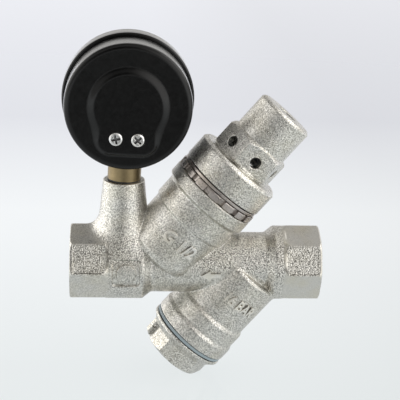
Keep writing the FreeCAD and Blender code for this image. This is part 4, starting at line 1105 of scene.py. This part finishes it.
# Softboxes by bearing from the front (to the right is positive) and height, both in
# degrees, then inner and outer half width and the light that each adds.
SOFTBOXES = (
    (-112, 6, 14, 44, 1.7),      # big box at the left
    (44, 12, 12, 38, 1.1),       # box at the right front
    (108, 34, 10, 36, 0.9),      # smaller box, right and behind
    (-105, 62, 20, 45, -0.28),   # gap in the tent at the top left
    (-8, 20, 8, 26, -0.60),      # opening for the camera
    (155, 62, 15, 45, -0.05),    # dimmer roof
)
FLOOR_GLOW = 0.67              # light that the floor sends up to the object
SHOWN_GLOW = 0.80              # brightness of the floor as seen
FLOOR_FRONT = (0.80, 0.85, 0.86)
FLOOR_MIDDLE = (0.871, 0.905, 0.930)
FLOOR_FAR = (0.645, 0.665, 0.73)
TENT_LIGHT = (1.0, 0.985, 0.96)
TENT_SHOWN = (0.80, 0.83, 0.88)


def make_camera():
    """Long lens, a little above the valve and looking down on it."""
    data = bpy.data.cameras.new("camera")
    data.lens = CAMERA_LENS
    data.sensor_width = 36.0
    data.clip_start = 0.01
    camera = add_object("camera", data)
    look = Vector((math.sin(CAMERA_AZIMUTH) * math.cos(CAMERA_DROP),
                   math.cos(CAMERA_AZIMUTH) * math.cos(CAMERA_DROP), -math.sin(CAMERA_DROP)))
    turn = look.to_track_quat("-Z", "Y") @ Quaternion((0, 0, 1), CAMERA_ROLL)
    camera.matrix_world = Matrix.Translation(CAMERA_AT) @ turn.to_matrix().to_4x4()
    bpy.context.scene.camera = camera


def make_floor():
    """Pale glossy floor.  Only the object's reflections see its darker front part."""
    bm = bmesh.new()
    bmesh.ops.create_grid(bm, x_segments=8, y_segments=8, size=FLOOR_HALF)
    mesh = bpy.data.meshes.new("floor")
    bm.to_mesh(mesh)
    bm.free()
    floor = add_object("floor", mesh)
    floor.location.z = CAD_BOX[0].z - 0.2 * MM
    f = Finish("floor", (0.16, 0.16, 0.16), 0.12)
    f.shader.inputs["Specular IOR Level"].default_value = 0.25
    split = f.node("SeparateXYZ", {0: f.where})
    x, y = split.outputs["X"], split.outputs["Y"]
    far = f.mixed(f.spread(y, 0.20, 0.42, 0.0, 1.0), FLOOR_MIDDLE, FLOOR_FAR)
    tone = f.mixed(f.spread(y, -0.04, 0.16, 0.0, 1.0), FLOOR_FRONT, far)
    right = f.spread(x, -0.04, 0.10, 1.0, 0.88)
    patch_at, patch_shape = Vector((-0.02, -0.60, 0.0)), Vector((6.5, 3.0, 0.0))
    away = f.vector("ADD", f.where, -patch_at).outputs[0]
    away = f.vector("MULTIPLY", away, patch_shape).outputs[0]
    away = f.vector("LENGTH", away).outputs["Value"]
    front = f.spread(away, 0.7, 1.6, 0.06, 1.0)
    left = f.spread(x, -0.15, -0.55, 1.0, 1.9)
    sides = f.maths("MULTIPLY", left, f.spread(x, 0.04, 0.18, 1.0, 1.45))
    glow = f.maths("MULTIPLY", f.maths("MULTIPLY", front, sides), FLOOR_GLOW)
    seen = f.node("LightPath").outputs["Is Camera Ray"]
    shown = f.maths("MULTIPLY", right, SHOWN_GLOW)
    f.tree.links.new(tone, f.shader.inputs["Emission Color"])
    mix = f.node("Mix", {"Factor": seen}, data_type="FLOAT")
    f.tree.links.new(glow, mix.inputs["A"])
    f.tree.links.new(shown, mix.inputs["B"])
    f.set("Emission Strength", mix.outputs["Result"])
    mesh.materials.append(f.material)


def make_world():
    """Studio as a map of directions: bright sides, a dimmer ceiling, a dark camera side."""
    world = bpy.data.worlds.new("studio")
    world.use_nodes = True
    bpy.context.scene.world = world
    tree = world.node_tree
    background = tree.nodes["Background"]
    f = Nodes(tree)
    where = f.node("TexCoord").outputs["Generated"]
    light = BASE_LIGHT
    for azimuth, height, inner, outer, gain in SOFTBOXES:
        a, h = math.radians(azimuth), math.radians(height)
        aim = Vector((math.sin(a) * math.cos(h), -math.cos(a) * math.cos(h), math.sin(h)))
        near = f.vector("DOT_PRODUCT", where, aim).outputs["Value"]
        edge, core = math.cos(math.radians(outer)), math.cos(math.radians(inner))
        light = f.maths("ADD", f.spread(near, edge, core, 0.0, gain), light)
    seen = f.node("LightPath").outputs["Is Camera Ray"]
    shade = f.mixed(seen, TENT_LIGHT, TENT_SHOWN)
    tree.links.new(shade, background.inputs["Color"])
    strength = f.maths("ADD", f.maths("MULTIPLY", f.maths("SUBTRACT", 1.0, seen), light), seen)
    tree.links.new(strength, background.inputs["Strength"])


def area_light(name, at, toward, size, power):
    """Rectangular lamp at a place in metres, aimed at another."""
    data = bpy.data.lights.new(name, "AREA")
    data.shape = "RECTANGLE"
    data.size, data.size_y = size
    data.energy = power
    light = add_object(name, data)
    aim = (Vector(toward) - Vector(at)).to_track_quat("-Z", "Y")
    light.matrix_world = Matrix.Translation(at) @ aim.to_matrix().to_4x4()


def make_lights():
    middle = (MID_X * MM, 0, 0.02)
    area_light("right_box", (0.75, -0.10, 0.60), middle, (0.5, 0.7), 1.6)
    area_light("left_box", (-0.95, -0.25, 0.45), middle, (0.5, 0.8), 0.8)


make_camera()
make_world()
make_floor()
make_lights()
finish_nodes()
make_body()
port_thread("port_thread_outlet", OUTLET_X, 1)
port_thread("port_thread_inlet", INLET_X, -1)
make_marks()
make_bonnet()
make_cap()
make_gauge_case()
make_dial_print()
bpy.context.scene.view_settings.view_transform = "Standard"
